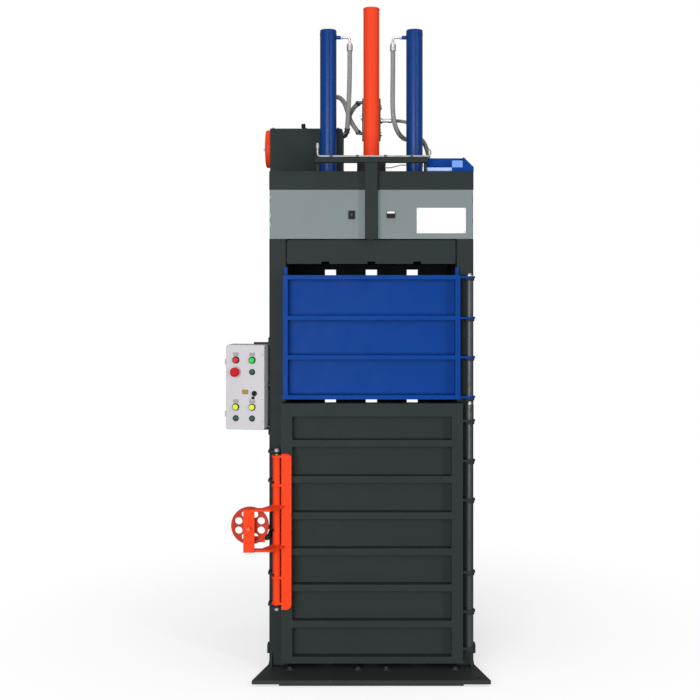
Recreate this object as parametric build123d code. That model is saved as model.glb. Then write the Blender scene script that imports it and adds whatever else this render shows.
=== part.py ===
from build123d import *
from math import cos, pi, radians, sin, tan
import os

# Upright recycling baler. Origin on the floor under the middle of the press, front towards -Y, millimetres.

# Fits and gaps
running = 0.06  # radial clearance of a pin or shaft that turns or slides
seat = 0.3  # gap between faces of pieces that move apart

# Body shell, which the other pieces follow
body_front = -360
body_back = 360
body_half = 511

# Base
skid_height = 11
skid_width = 90
skid_half_length = body_half - 67
base_thickness = 18
base_front = -585
base_back = 500
base_corner_half = body_half + 63
base_waist_half = body_half + 3
anchor_x = body_half + 9
anchor_inset = 45
anchor_hole_r = 11

# Columns and walls
column_width = 85
column_depth = 100
column_wall = 6
column_top = 2155
sheet = 6
stiffener_height = 60
stiffener_count = 7
slot_width = 63
slot_pitch = 230
slot_top = 2004
slot_bottom = 110
rear_channel_depth = 40
rear_channel_height = 80
rear_channel_zs = (320, 860, 1540, 2080)
floor_top = 69
floor_sheet = 8

# Header
header_top = 2494
header_band = 92
header_sheet = 10
panel_height = 247
panel_depth = 16
panel_sheet = 2
panel_gap = 1.5
post_width = 60
post_depth = 40
post_top = 2533
crossbar_half = 280
crossbar_height = 28
hinge_pin_r = 4
panel_knuckle_r = 7
panel_hinge_length = 60
latch_from_post = 68
latch_z = 2275

# Press
ram_x = 229.5
ram_r = 44
ram_bore_r = 35
ram_length = 1003
ram_cap = 25
ram_flange_r = 65
ram_flange = 20
rod_r = 22.5
piston_height = 40
port_from_top = 39
port_r = 10
port_length = 23
beam_bottom = 2250
beam_plate = 25
beam_half_depth = 110
beam_web = 10
beam_height = 125
eye_z = 2200
eye_r = 30
eye_half = 20
eye_pin_r = 12.5
lug_thickness = 15
guide_r = 42.5
guide_wall = 6
guide_length = 1108
guide_cap = 8
mast_r = 30
mast_play = 17
hub_r = 77.5
hub_top_r = 70
hub_height = 77
platen_play = 5
platen_front = -355
platen_back = 290
platen_bottom = 2030
platen_top = 2150
platen_plate = 30
platen_wall = 12
strap_groove = 40
platen_groove = 12
pad_thickness = 4.5

# Doors
door_front = -423
door_back = -363
hinge_x = body_half - 23
hinge_y = -393
feed_pin_r = 18
bale_pin_r = 17
pin_bore_r = 12
ear_r = 28
door_ear = 10
column_ear = 12
feed_left = 73 - body_half
feed_right = body_half - 71
feed_top = 1974
feed_bottom = 1359
feed_rib = 21
feed_rib_tops = (1974, 1772.5, 1577.5, 1380)
feed_stile = 25
feed_skin = 4
feed_tab = 40
bale_left = 64 - body_half
bale_right = body_half - 58
bale_top = 1339
bale_bottom = 54
bale_stile = 56
bale_skin = 10
bale_pitch = 178.7
bale_recess = 146
bale_rail = 32
bale_ear_zs = (1252, 1054.5, 860.7, 503, 309, 124)
recess_count = 7

# Lock
lock_x = 44 - body_half
lock_y = -439
lock_pin_r = 8
sleeve_r = 19
sleeve_bore_r = 15.5
sleeve_bottom = 354
sleeve_top = 1087
lock_plate = 10
lock_plate_zs = (359, 486, 642, 838, 940, 1082)
arm_zs = (642, 838)  # the cranked arms, at two of the lock's plates
bar_inner = 25
bar_outer = 74
bar_front = 20
bar_bottom = 330
bar_top = 1094
bar_wall = 6
lock_ear_r = 15
lock_ear_zs = (342, 497, 720, 955, 1099)
screw_from_pin = 123
screw_z = 756.5
screw_r = 10
wheel_r = 92
wheel_front = 76
wheel_thickness = 10
wheel_hole_r = 18
wheel_hole_circle = 59
wheel_holes = 8
arm_rear = 78
arm_front = 118
bracket_thickness = 8
bracket_half = 27
presser_rear = 52
presser_front = 62
lock_travel = 21.6

# Control box
box_width = 195
box_height = 419
box_depth = 85
box_lid = 25
box_wall = 2.5
lid_sheet = 3
box_x = -body_half - 115
box_y = -406.5
box_bottom = 1208
box_turn = -8
arm_bar = 9
arm_bar_depth = 40
left_column_u = -47
right_column_u = 36
top_row = 345
stop_row = 286
key_row = 180
push_row = 112
lamp_row = 56
button_r = 13.5
button_out = 15
bezel_r = 17
bezel_height = 6
lamp_r = 11.5
mushroom_r = 23
key_r = 9
legend_rise = 29

# Power unit and valves
unit_left = -body_half - 34
unit_right = -155
unit_front = 60
unit_back = 350
unit_bottom = header_top
unit_top = 2763
unit_corner = 28
unit_lid_height = 14
motor_r = 103
motor_y = 205
motor_out = 33
motor_inner_r = 74
motor_z = 2668
breather_x = -371
breather_y = 150
manifold_half = 50
manifold_front = 62
manifold_depth = 50
manifold_bottom = 2700
manifold_top = 2925
tray_left = 276
tray_right = body_half + 3
tray_front = -340
tray_back = -282
tray_top = 2566
tray_chamfer = 50
tray_sheet = 4
tray_side = 52
tray_lip = 21
valve_length = 54
valve_height = 56
hose_d = 25
slim_hose_d = 18

base_top = skid_height + base_thickness
inner_half = body_half - column_width
platen_half = inner_half - platen_play
wall_outer = inner_half + sheet
rear_inner = body_back - 60
ram_bottom = beam_bottom + beam_plate
ram_top = ram_bottom + ram_length
port_z = ram_top - port_from_top
guide_bottom = ram_bottom + 12
guide_top = guide_bottom + guide_length
mast_top = guide_top - guide_cap - mast_play
rams = (-ram_x, ram_x)
slots = (-slot_pitch, 0, slot_pitch)


def block(x, y, z):
    """A bar between two limits along each axis."""
    size = (x[1] - x[0], y[1] - y[0], z[1] - z[0])
    return Pos((x[0] + x[1]) / 2, (y[0] + y[1]) / 2, (z[0] + z[1]) / 2) * Box(*size)


def along_x(face, x):
    """A face drawn in (Y, Z), extruded between two X limits."""
    return extrude(Plane.YZ.offset(x[0]) * face, x[1] - x[0], dir=(1, 0, 0))


def along_y(face, y):
    """A face drawn in (X, Z), extruded between two Y limits."""
    return extrude(Plane.XZ.offset(-y[1]) * face, y[1] - y[0], dir=(0, -1, 0))


def along_z(face, z):
    """A face drawn in (X, Y), extruded between two Z limits."""
    return extrude(Plane.XY.offset(z[0]) * face, z[1] - z[0], dir=(0, 0, 1))


def outline(*points):
    return Polygon(*points, align=None)


def disc(x, y, radius):
    return Pos(x, y) * Circle(radius)


def turned(points, x=0.0, y=0.0):
    """A solid turned about the upright through (x, y) from a (radius, Z) outline."""
    return Pos(x, y, 0) * revolve(Plane.XZ * outline(*points), Axis.Z)


def save(name, *solids):
    shape = solids[0] if len(solids) == 1 else Compound(children=list(solids))
    export_step(shape, f"parts/{name}.step")


def both(make):
    """The same piece for the left and the right side."""
    return make(-1), make(1)


def span(side, a, b):
    """X limits between two distances from the middle on one side."""
    return tuple(sorted((side * a, side * b)))


os.makedirs("parts", exist_ok=True)

# Base plate, flared at its four anchor corners, on three cross skids
anchor_ys = (base_front + anchor_inset, base_back - anchor_inset)
base_points = [
    (-base_corner_half, base_front),
    (base_corner_half, base_front),
    (base_waist_half, body_front),
    (base_waist_half, body_back),
    (base_corner_half, base_back),
    (-base_corner_half, base_back),
    (-base_waist_half, body_back),
    (-base_waist_half, body_front),
]
base_face = outline(*base_points)
for x in (-anchor_x, anchor_x):
    for y in anchor_ys:
        base_face -= disc(x, y, anchor_hole_r)
base_plate = along_z(base_face, (skid_height, base_top))
for y in (anchor_ys[0] + 10, 0, anchor_ys[1]):
    skid_y = (y - skid_width / 2, y + skid_width / 2)
    base_plate += block((-skid_half_length, skid_half_length), skid_y, (0, skid_height))
save("base_plate", base_plate)


# Columns: square tubes with a gusset at the foot and a transport lug on the outside
def column(side):
    depth = (body_front, body_front + column_depth)
    section = Rectangle(column_width, column_depth)
    section = fillet(section.vertices(), 9)
    section -= Rectangle(column_width - 2 * column_wall, column_depth - 2 * column_wall)
    middle = side * (body_half - column_width / 2)
    tube = Pos(middle, sum(depth) / 2) * along_z(section, (base_top, column_top))
    foot = outline((body_front, base_top), (body_front - 45, base_top), (body_front, base_top + 70))
    foot -= Pos(body_front - 14, base_top + 18) * Circle(7)
    tube += along_x(foot, span(side, body_half - 16, body_half - 8))
    lug = Pos(body_front + 35, 101) * Rectangle(50, 42)
    lug -= Pos(body_front + 35, 101) * Circle(11)
    tube += along_x(lug, span(side, body_half - 1, body_half + 11))
    return tube


def hinge_ear(pin_r, top):
    """A column's ear: a plate from the column's front face round the hinge tube."""
    face = Pos(hinge_x, (hinge_y + body_front) / 2) * Rectangle(46, body_front - hinge_y)
    face += disc(hinge_x, hinge_y, ear_r - 4)
    face -= disc(hinge_x, hinge_y, pin_r + running)
    return along_z(face, (top - column_ear, top))


feed_ear_zs = [top - feed_rib / 2 for top in feed_rib_tops]
right_column = column(1)
for z in feed_ear_zs:
    right_column += hinge_ear(feed_pin_r, z - door_ear / 2 - seat)
for z in bale_ear_zs:
    right_column += hinge_ear(bale_pin_r, z - door_ear / 2 - seat)
save("column_right", right_column)

lock_ear_right = 12
lock_ear_left = lock_x + body_half + 1
lock_neck = 22


def lock_ear(z):
    """A column's ear for the lock: wide at the column, with a round nose round the pivot pin."""
    reach = body_front - lock_y
    face = outline(
        (-lock_ear_left, reach),
        (-lock_ear_left, lock_neck + 8),
        (-lock_ear_right, lock_neck),
        (-lock_ear_right, 0),
        (lock_ear_right, 0),
        (lock_ear_right, reach),
    )
    face += Circle(lock_ear_r)
    face -= Circle(lock_pin_r + running)
    return Pos(lock_x, lock_y) * along_z(face, (z - column_ear / 2, z + column_ear / 2))


stub_tip = 64
stub_face = presser_rear - lock_travel - seat
stub_zs = (675, 697)
left_column = column(-1)
for z in lock_ear_zs:
    left_column += lock_ear(z)
stub_points = [
    (-20, body_front - lock_y),
    (-lock_ear_left, body_front - lock_y),
    (-lock_ear_left, 8),
    (-stub_tip, -12),
    (-stub_tip, -stub_face),
    (-36, -stub_face),
    (-30, 20),
]
left_column += Pos(lock_x, lock_y) * along_z(outline(*stub_points), stub_zs)
save("column_left", left_column)


# Side walls: sheets between the column and the rear corner, with pressed channels outside
def side_wall(side):
    depth = (body_front + column_depth, body_back)
    wall = block(span(side, inner_half, wall_outer), depth, (base_top, column_top))
    pitch = (column_top - base_top - 2 * stiffener_height) / (stiffener_count - 1)
    outer = body_half - 6
    for i in range(stiffener_count):
        middle = base_top + stiffener_height + i * pitch
        z = (middle - stiffener_height / 2, middle + stiffener_height / 2)
        channel = block(span(side, wall_outer, outer), depth, z)
        inside = span(side, wall_outer, outer - sheet)
        channel -= block(inside, depth, (z[0] + sheet, z[1] - sheet))
        wall += channel
    return wall


for name, wall in zip(("side_wall_left", "side_wall_right"), both(side_wall), strict=True):
    save(name, wall)

# Rear wall: upright channels with strap slots between them, tied by cross channels behind
rear_wall = block((-inner_half, inner_half), (rear_inner, rear_inner + sheet), (base_top, column_top))
rib_depth = (rear_inner + sheet, body_back)
rib_xs = [-inner_half, inner_half - sheet]
for x in slots:
    edges = (x - slot_width / 2, x + slot_width / 2)
    rear_wall -= block(edges, (rear_inner, rear_inner + sheet), (slot_bottom, slot_top))
    rib_xs += [edges[0] - sheet, edges[1]]
for x in rib_xs:
    rear_wall += block((x, x + sheet), rib_depth, (base_top, column_top))
for z in rear_channel_zs:
    heights = (z - rear_channel_height / 2, z + rear_channel_height / 2)
    channel_y = (body_back, body_back + rear_channel_depth)
    channel = block((-inner_half, inner_half), channel_y, heights)
    hollow_y = (body_back, channel_y[1] - sheet)
    channel -= block((-inner_half, inner_half), hollow_y, (heights[0] + sheet, heights[1] - sheet))
    rear_wall += channel
save("rear_wall", rear_wall)

# Chamber floor: one folded sheet with three strap grooves that line up with the slots
floor_depth = (platen_front, rear_inner)
floor = block((-inner_half, inner_half), floor_depth, (base_top, floor_top))
groove_half = slot_width / 2
edges = [-inner_half] + [x + s * (groove_half + floor_sheet) for x in slots for s in (-1, 1)] + [inner_half]
for x in slots:
    floor -= block((x - groove_half, x + groove_half), floor_depth, (base_top + floor_sheet, floor_top))
for low, high in zip(edges[0::2], edges[1::2], strict=True):
    low += floor_sheet * (low == -inner_half)
    high -= floor_sheet * (high == inner_half)
    floor -= block((low, high), floor_depth, (base_top, floor_top - floor_sheet))
save("chamber_floor", floor)

# Header: a folded and welded hood over the beam, with a front band above the two panels
panel_top = header_top - header_band
panel_bottom = panel_top - panel_height
cheek_front = body_front + 25
full_x = (-body_half, body_half)
header = block(full_x, (body_front, body_back), (column_top, header_top))
header -= block(
    (-body_half + header_sheet, body_half - header_sheet),
    (body_front + header_sheet, body_back - header_sheet),
    (column_top, header_top - header_sheet),
)
header -= block(full_x, (body_front, cheek_front), (column_top, panel_top))
for side in (-1, 1):
    for y in (cheek_front, body_back - 90):
        foot_x = span(side, inner_half, body_half - header_sheet)
        header += block(foot_x, (y, y + 80), (column_top, column_top + header_sheet))
# A rail under the panels and a keeper behind the post for both turn latches
rail_y = (cheek_front - header_sheet, cheek_front + header_sheet / 2)
rail_x = (-body_half + header_sheet, body_half - header_sheet)
header += block(rail_x, rail_y, (panel_bottom, panel_bottom + 50))
for side in (-1, 1):
    swing_x = span(side, body_half - 32, body_half - header_sheet)
    header -= block(swing_x, (rail_y[0], cheek_front - 5), (panel_bottom, panel_bottom + 50))
header += block((-28, 28), rail_y, (panel_bottom, latch_z - 30))
header += block((-28, 28), (body_front, rail_y[0]), (panel_bottom + 4, latch_z + 40))
for x in rams:
    header -= Pos(x, 0, header_top) * Cylinder(ram_r + 1.5, 4 * header_sheet)
header -= Pos(0, 0, header_top) * Cylinder(guide_r + 1, 4 * header_sheet)
save("header_frame", header)

# Post and crossbar at the front of the header, welded as one T with a stay near each end
post_y = (body_front - post_depth, body_front)
post_z = (panel_bottom - 2, post_top)
t_post = block((-post_width / 2, post_width / 2), post_y, post_z)
t_post -= block((-post_width / 2 + 4, post_width / 2 - 4), (post_y[0] + 4, post_y[1] - 4), post_z)
crossbar_z = (post_top, post_top + crossbar_height)
bar_section = Rectangle(post_depth, crossbar_height)
bar_section = fillet(bar_section.vertices(), 5)
bar_section -= Rectangle(post_depth - 8, crossbar_height - 8)
bar_place = Pos(0, sum(post_y) / 2, sum(crossbar_z) / 2)
t_post += bar_place * along_x(bar_section, (-crossbar_half, crossbar_half))
left_end = -crossbar_half + 12
stay_y = (post_y[1] - 1, post_y[1] + 14)
t_post += block((left_end - 7, left_end + 7), stay_y, (header_top, crossbar_z[1] + 60))
t_post += block((crossbar_half - 18, crossbar_half - 4), stay_y, (header_top, crossbar_z[1]))
save("t_post", t_post)

# Thin steel pipes: one along the crossbar with its upright ends, one small pipe behind the post
pipe_r = 5
pipe_z = crossbar_z[1] + pipe_r
pipe_y = sum(post_y) / 2
right_end = crossbar_half + 10


def pipe(points, radius, bends):
    """A round bar or pipe along straight runs joined by bends."""
    path = FilletPolyline(*points, radius=bends)
    return sweep(Plane(origin=path @ 0, z_dir=path % 0) * Circle(radius), path)


rail_points = [
    (left_end, pipe_y, pipe_z + 52),
    (left_end, pipe_y, pipe_z),
    (right_end, pipe_y, pipe_z),
    (right_end, pipe_y, pipe_z + 22),
]
rail_pipe = pipe(rail_points, pipe_r, [14, 10])
drain_ends = (hub_r + seat, ram_x - ram_r - seat)
drain_z = header_top + 52
drain_points = [
    (drain_ends[0], 0, drain_z),
    (drain_ends[0] + 25, 0, drain_z),
    (drain_ends[1] - 30, 0, drain_z + 14),
    (drain_ends[1], 0, drain_z + 14),
]
drain_pipe = pipe(drain_points, 3, [60, 60])
save("steel_pipes", rail_pipe, drain_pipe)

# End fittings of the long pipe
cap_bore = pipe_r + 0.1
pipe_cap = turned([(cap_bore, 0), (9, 0), (9, 16), (6, 20), (6, 26), (0, 26), (0, 12.2), (cap_bore, 12.2)])
pipe_caps = []
for x, z in ((left_end, pipe_z + 40), (right_end, pipe_z + 10)):
    pipe_caps.append(Pos(x, pipe_y, z) * pipe_cap)
save("pipe_fittings", *pipe_caps)

# Beam that carries the rams: a deep channel across the header
beam_y = (-beam_half_depth, beam_half_depth)
beam_x = (-body_half + header_sheet, body_half - header_sheet)
beam = block(beam_x, beam_y, (beam_bottom, beam_bottom + beam_height))
beam_hollow = (-beam_half_depth + beam_web, beam_half_depth - beam_web)
beam -= block(beam_x, beam_hollow, (ram_bottom, beam_bottom + beam_height))
gland_r = 40
for x in rams:
    beam -= Pos(x, 0, beam_bottom) * Cylinder(gland_r + running, 4 * beam_plate)
bush_r = 38
beam -= Pos(0, 0, beam_bottom) * Cylinder(bush_r + running, 4 * beam_plate)
save("cylinder_beam", beam)


# Ram barrels: a closed tube on a foot flange, with an oil port at the top facing the middle
def barrel(side):
    x = side * ram_x
    body = turned(
        [
            (ram_bore_r, ram_bottom),
            (ram_flange_r, ram_bottom),
            (ram_flange_r, ram_bottom + ram_flange),
            (ram_r, ram_bottom + ram_flange),
            (ram_r, ram_top - 3),
            (ram_r - 3, ram_top),
            (0, ram_top),
            (0, ram_top - ram_cap),
            (ram_bore_r, ram_top - ram_cap),
        ],
        x,
    )
    inward = -side
    boss_x = tuple(sorted((x + inward * (ram_r - 3), x + inward * (ram_r + port_length))))
    boss = along_x(Pos(0, port_z) * Circle(port_r), boss_x)
    drill_x = tuple(sorted((x + inward * 20, x + inward * (ram_r + port_length))))
    body += boss
    body -= along_x(Pos(0, port_z) * Circle(4), drill_x)
    for i in range(4):
        a = radians(45 + 90 * i)
        hole = Pos(x + 55 * cos(a), 55 * sin(a), ram_bottom) * Cylinder(5.5, 3 * ram_flange)
        body -= hole
    return body


for name, piece in zip(("cylinder_barrel_left", "cylinder_barrel_right"), both(barrel), strict=True):
    save(name, piece)

gland_low = beam_bottom - 10
gland_points = [
    (rod_r + running, gland_low),
    (gland_r, gland_low),
    (gland_r, ram_bottom - 0.1),
    (ram_bore_r - running, ram_bottom - 0.1),
    (ram_bore_r - running, ram_bottom + 25),
    (rod_r + running, ram_bottom + 25),
]
save("cylinder_glands", *[turned(gland_points, x) for x in rams])

# Guide tube in the middle, its hub on the header and the bush in the beam
guide_bore = guide_r - guide_wall
tube_points = [
    (guide_bore, guide_bottom),
    (guide_r, guide_bottom),
    (guide_r, guide_top - 2),
    (guide_r - 2, guide_top),
    (0, guide_top),
    (0, guide_top - guide_cap),
    (guide_bore, guide_top - guide_cap),
]
save("guide_tube", turned(tube_points))
hub_points = [
    (guide_r + running, header_top),
    (hub_r, header_top),
    (hub_r, header_top + 12),
    (hub_top_r + 6, header_top + hub_height - 8),
    (hub_top_r, header_top + hub_height),
    (guide_r + running, header_top + hub_height),
]
save("guide_hub", turned(hub_points))
bush_points = [
    (mast_r + running, beam_bottom - 12),
    (bush_r, beam_bottom - 12),
    (bush_r, ram_bottom),
    (52, ram_bottom),
    (52, guide_bottom),
    (mast_r + running, guide_bottom),
]
save("guide_bush", turned(bush_points))

# Platen: a welded pressing box with strap grooves below, ribs and a closed beam under the rods
platen = block((-platen_half, platen_half), (platen_front, platen_back), (platen_bottom, platen_top))
for x in slots:
    groove = (x - strap_groove / 2, x + strap_groove / 2)
    platen -= block(groove, (platen_front, platen_back), (platen_bottom, platen_bottom + platen_groove))
pocket_z = (platen_bottom + platen_plate, platen_top)
beam_half = 75
for y in ((platen_front + platen_wall, -beam_half), (beam_half, platen_back - platen_wall)):
    for i in range(4):
        cell = (2 * platen_half - 5 * platen_wall) / 4
        low = -platen_half + platen_wall + i * (cell + platen_wall)
        platen -= block((low, low + cell), y, pocket_z)
tunnel_z = (platen_bottom + platen_plate, platen_top - 20)
platen -= block((-platen_half, platen_half), (-beam_half + platen_wall, beam_half - platen_wall), tunnel_z)
for x in rams:
    for s in (-1, 1):
        inner = eye_half + seat
        lug_x = tuple(sorted((x + s * inner, x + s * (inner + lug_thickness))))
        lug = Pos(0, (platen_top + eye_z) / 2) * Rectangle(70, eye_z - platen_top)
        lug += Pos(0, eye_z) * Circle(27)
        lug -= Pos(0, eye_z) * Circle(eye_pin_r + 0.05)
        platen += along_x(lug, lug_x)
save("platen", platen)

pads = []
for side in (-1, 1):
    for y in (platen_front + 10, platen_back - 110):
        pad_x = span(side, platen_half, platen_half + pad_thickness)
        pad = block(pad_x, (y, y + 100), (platen_bottom + 8, platen_top - 8))
        pads.append(chamfer(pad.edges().filter_by(Axis.Y).group_by(Axis.X)[0 if side < 0 else -1], 3))
save("platen_pads", *pads)

mast_points = [
    (0, platen_top),
    (60, platen_top),
    (60, platen_top + 15),
    (mast_r, platen_top + 15),
    (mast_r, mast_top - 40),
    (guide_bore - running, mast_top - 40),
    (guide_bore - running, mast_top),
    (0, mast_top),
]
save("guide_mast", turned(mast_points))

piston_low = ram_top - ram_cap - 8 - piston_height
rods = []
for x in rams:
    rod_points = [
        (0, eye_z + eye_r),
        (rod_r, eye_z + eye_r),
        (rod_r, piston_low),
        (ram_bore_r - running, piston_low),
        (ram_bore_r - running, piston_low + piston_height),
        (0, piston_low + piston_height),
    ]
    rod = turned(rod_points, x)
    eye = Pos(0, eye_z) * Circle(eye_r)
    eye += Pos(0, eye_z + eye_r / 2 + 2) * Rectangle(2 * eye_half, eye_r + 4)
    rod += along_x(eye, (x - eye_half, x + eye_half))
    rod -= along_x(Pos(0, eye_z) * Circle(eye_pin_r + 0.05), (x - eye_half, x + eye_half))
    rods.append(rod)
save("piston_rods", *rods)
pin_half = eye_half + seat + lug_thickness + 6
save("rod_pins", *[along_x(Pos(0, eye_z) * Circle(eye_pin_r), (x - pin_half, x + pin_half)) for x in rams])


def door_ear_plate(z, edge, pin_r):
    """A door's ear: a plate from the door's edge that narrows to a neck and rings the hinge tube."""
    face = outline(
        (edge - 20, hinge_y - 28),
        (edge, hinge_y - 28),
        (hinge_x - 14, hinge_y - ear_r + 4),
        (hinge_x, hinge_y + ear_r - 4),
        (hinge_x - 14, hinge_y + ear_r - 5),
        (edge, hinge_y + 14),
        (edge - 20, hinge_y + 14),
    )
    face += disc(hinge_x, hinge_y, ear_r)
    face -= disc(hinge_x, hinge_y, pin_r + running)
    return along_z(face, (z - door_ear / 2, z + door_ear / 2))


# Feed door: two stiles and four ribs in front of a sheet
door_y = (door_front, door_back)
feed_x = (feed_left, feed_right)
skin_y = (door_back - feed_skin, door_back)
feed_door = block(feed_x, skin_y, (feed_bottom, feed_top))
for x in (feed_left, feed_right - feed_stile):
    feed_door += block((x, x + feed_stile), door_y, (feed_bottom, feed_top))
for top in feed_rib_tops:
    feed_door += block(feed_x, door_y, (top - feed_rib, top))
for x in (feed_left + 4, feed_right - 20):
    feed_door += block((x, x + 16), (door_back - 16, door_back), (feed_top, feed_top + feed_tab))
for z in feed_ear_zs:
    feed_door += door_ear_plate(z, feed_right, feed_pin_r)
save("feed_door", feed_door)

# Bale door: a thick plate door with seven recesses between its ribs and strap grooves inside
bale_x = (bale_left, bale_right)
bale_door = block(bale_x, door_y, (bale_bottom, bale_top))
recess_x = (bale_left + bale_stile, bale_right - bale_stile)
recess_y = (door_front, door_back - bale_skin)
for i in range(recess_count):
    low = bale_bottom + bale_rail + i * bale_pitch
    high = min(low + bale_recess, bale_top - 2 * bale_rail)
    recess = block(recess_x, recess_y, (low, high))
    bale_door -= fillet(recess.edges().filter_by(Axis.Y), 5)
for x in slots:
    groove = (x - strap_groove / 2, x + strap_groove / 2)
    bale_door -= block(groove, (door_back - 4, door_back), (floor_top, bale_top))
for z in bale_ear_zs:
    bale_door += door_ear_plate(z, bale_right, bale_pin_r)
save("bale_door", bale_door)

# Hinge tubes of both doors, and the bolts that close them
feed_low = feed_ear_zs[-1] - door_ear / 2 - seat - column_ear
feed_high = feed_ear_zs[0] + door_ear / 2 + 1
bale_low = bale_ear_zs[-1] - door_ear / 2 - seat - column_ear
collar_low = bale_ear_zs[0] + door_ear / 2 + 1
collar_high = bale_top - 6
feed_tube = turned(
    [(pin_bore_r, feed_low), (feed_pin_r, feed_low), (feed_pin_r, feed_high), (pin_bore_r, feed_high)],
    hinge_x,
    hinge_y,
)
bale_tube = turned(
    [
        (pin_bore_r, bale_low),
        (bale_pin_r, bale_low),
        (bale_pin_r, collar_low),
        (bale_pin_r + 3.5, collar_low),
        (bale_pin_r + 3.5, collar_high),
        (pin_bore_r, collar_high),
    ],
    hinge_x,
    hinge_y,
)
save("door_hinge_tubes", feed_tube, bale_tube)


def hinge_bolt(seat_z, shank):
    """A bolt with a domed head on the tube's end."""
    points = [
        (0, seat_z - shank),
        (pin_bore_r - 0.1, seat_z - shank),
        (pin_bore_r - 0.1, seat_z),
        (17, seat_z),
        (17, seat_z + 5),
        (11, seat_z + 7),
        (9, seat_z + 14),
        (0, seat_z + 16),
    ]
    return turned(points, hinge_x, hinge_y)


save("door_hinge_bolts", hinge_bolt(feed_high, 60), hinge_bolt(collar_high, 60))

# Lock bar: a slotted sleeve round the pivot pin, the pressing bar and the handwheel's bracket
press_face = door_front - lock_y - seat


def knuckle_face():
    face = Circle(24)
    face += Pos(bar_outer / 2, (press_face - bar_front) / 2) * Rectangle(bar_outer, press_face + bar_front)
    return face


def arm_face():
    """A cranked arm from the sleeve, forwards past the handwheel, to the bracket's plate."""
    far = screw_from_pin + bracket_half
    return outline(
        (bar_inner + 20, -bar_front),
        (-20, -arm_front),
        (-far, -arm_front),
        (-far, -arm_rear),
        (-64, -arm_rear),
        (-24, -5),
        (bar_inner, 0),
    )


bar_middle = Pos((bar_inner + bar_outer) / 2, (bar_bottom + bar_top) / 2)
bar_face = bar_middle * Rectangle(bar_outer - bar_inner, bar_top - bar_bottom)
bar_face = fillet(bar_face.vertices().group_by(Axis.X)[-1], 26)
lock_bar = along_y(bar_face, (-bar_front, press_face))
hollow_x = (bar_inner + bar_wall, bar_outer - bar_wall)
lock_bar -= block(hollow_x, (-bar_front + bar_wall, press_face), (bar_bottom + 30, bar_top - 30))
lock_bar += along_z(Circle(sleeve_r) - Circle(sleeve_bore_r), (sleeve_bottom, sleeve_top))
for z in lock_plate_zs:
    plate_z = (z - lock_plate / 2, z + lock_plate / 2)
    lock_bar += along_z(knuckle_face(), plate_z)
for z in arm_zs:
    lock_bar += along_z(arm_face(), (z - lock_plate / 2, z + lock_plate / 2))
bracket_x = (-screw_from_pin - bracket_half, -screw_from_pin + bracket_half)
bracket_y = (-arm_front - bracket_thickness, -arm_front)
bracket_z = (arm_zs[0] - lock_plate / 2, arm_zs[1] + lock_plate / 2)
lock_bar += block(bracket_x, bracket_y, bracket_z)
lock_bar += along_y(Pos(-screw_from_pin, screw_z) * Circle(19), (-arm_front, -arm_front + 16))
screw_bore = Pos(-screw_from_pin, screw_z) * Circle(screw_r + running)
lock_bar -= along_y(screw_bore, (-arm_front - 20, -arm_front + 20))
pin_bore = along_z(Circle(lock_pin_r + running), (bar_bottom, bar_top))
lock_bar -= pin_bore
slot_start = radians(35)
slot_end = radians(237)
slot_sector = outline(
    (0, 0),
    (60 * cos(slot_end), 60 * sin(slot_end)),
    (-60, 0),
    (-60, 60),
    (0, 60),
    (60 * cos(slot_start), 60 * sin(slot_start)),
)
slot_ring = (Circle(sleeve_r + 1) - Circle(sleeve_bore_r - 1)) & slot_sector
for z in lock_ear_zs[1:-1]:
    lock_bar -= along_z(slot_ring, (z - column_ear / 2 - 2, z + column_ear / 2 + 2))
save("lock_bar", Pos(lock_x, lock_y) * lock_bar)

pin_low = lock_ear_zs[0] - column_ear / 2
pin_high = lock_ear_zs[-1] + column_ear / 2
pivot_points = [
    (0, pin_low - 16),
    (10, pin_low - 16),
    (14, pin_low - 12),
    (14, pin_low),
    (lock_pin_r, pin_low),
    (lock_pin_r, pin_high),
    (15, pin_high),
    (15, pin_high + 6),
    (10, pin_high + 15),
    (0, pin_high + 17),
]
save("lock_pivot_pin", turned(pivot_points, lock_x, lock_y))

# Screw, handwheel and the presser that the screw pushes against the column's stub
screw_at = Pos(lock_x - screw_from_pin, lock_y, screw_z)
save("lock_screw", screw_at * along_y(Circle(screw_r), (-arm_front - 34, -presser_front)))
wheel_face = Circle(wheel_r)
for i in range(wheel_holes):
    a = radians(22.5 + 360 / wheel_holes * i)
    wheel_face -= Pos(wheel_hole_circle * cos(a), wheel_hole_circle * sin(a)) * Circle(wheel_hole_r)
wheel_back = -wheel_front + wheel_thickness
wheel = along_y(wheel_face, (-wheel_front, wheel_back))
wheel = fillet(wheel.edges().filter_by(GeomType.CIRCLE).sort_by(SortBy.LENGTH)[-2:], 3)
wheel += along_y(Circle(17), (-wheel_front - 12, -presser_front - 2))
wheel -= along_y(Circle(screw_r + 0.02), (-wheel_front - 12, -presser_front - 2))
save("handwheel", screw_at * wheel)
presser_inner = 52
leg_x = (-screw_from_pin - 13, -screw_from_pin + 13)
presser_y = (-presser_front, -presser_rear)
foot_z = (stub_zs[0] - 3, stub_zs[1] + 3)
presser = block(leg_x, presser_y, (foot_z[0], screw_z + 20))
presser += block((leg_x[0], -presser_inner), presser_y, foot_z)
save("lock_presser", Pos(lock_x, lock_y) * presser)


# Header panels: folded pans on outer hinges, with a turn latch near the post
panel_edge = body_half - 4
panel_pin = body_half - 12
pin_y = body_front - 2 + panel_depth / 2
panel_hinge_zs = (panel_bottom + 95, panel_top - 55)
panel_inner_x = post_width / 2 + panel_gap
latch_x = post_width / 2 + latch_from_post


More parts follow.
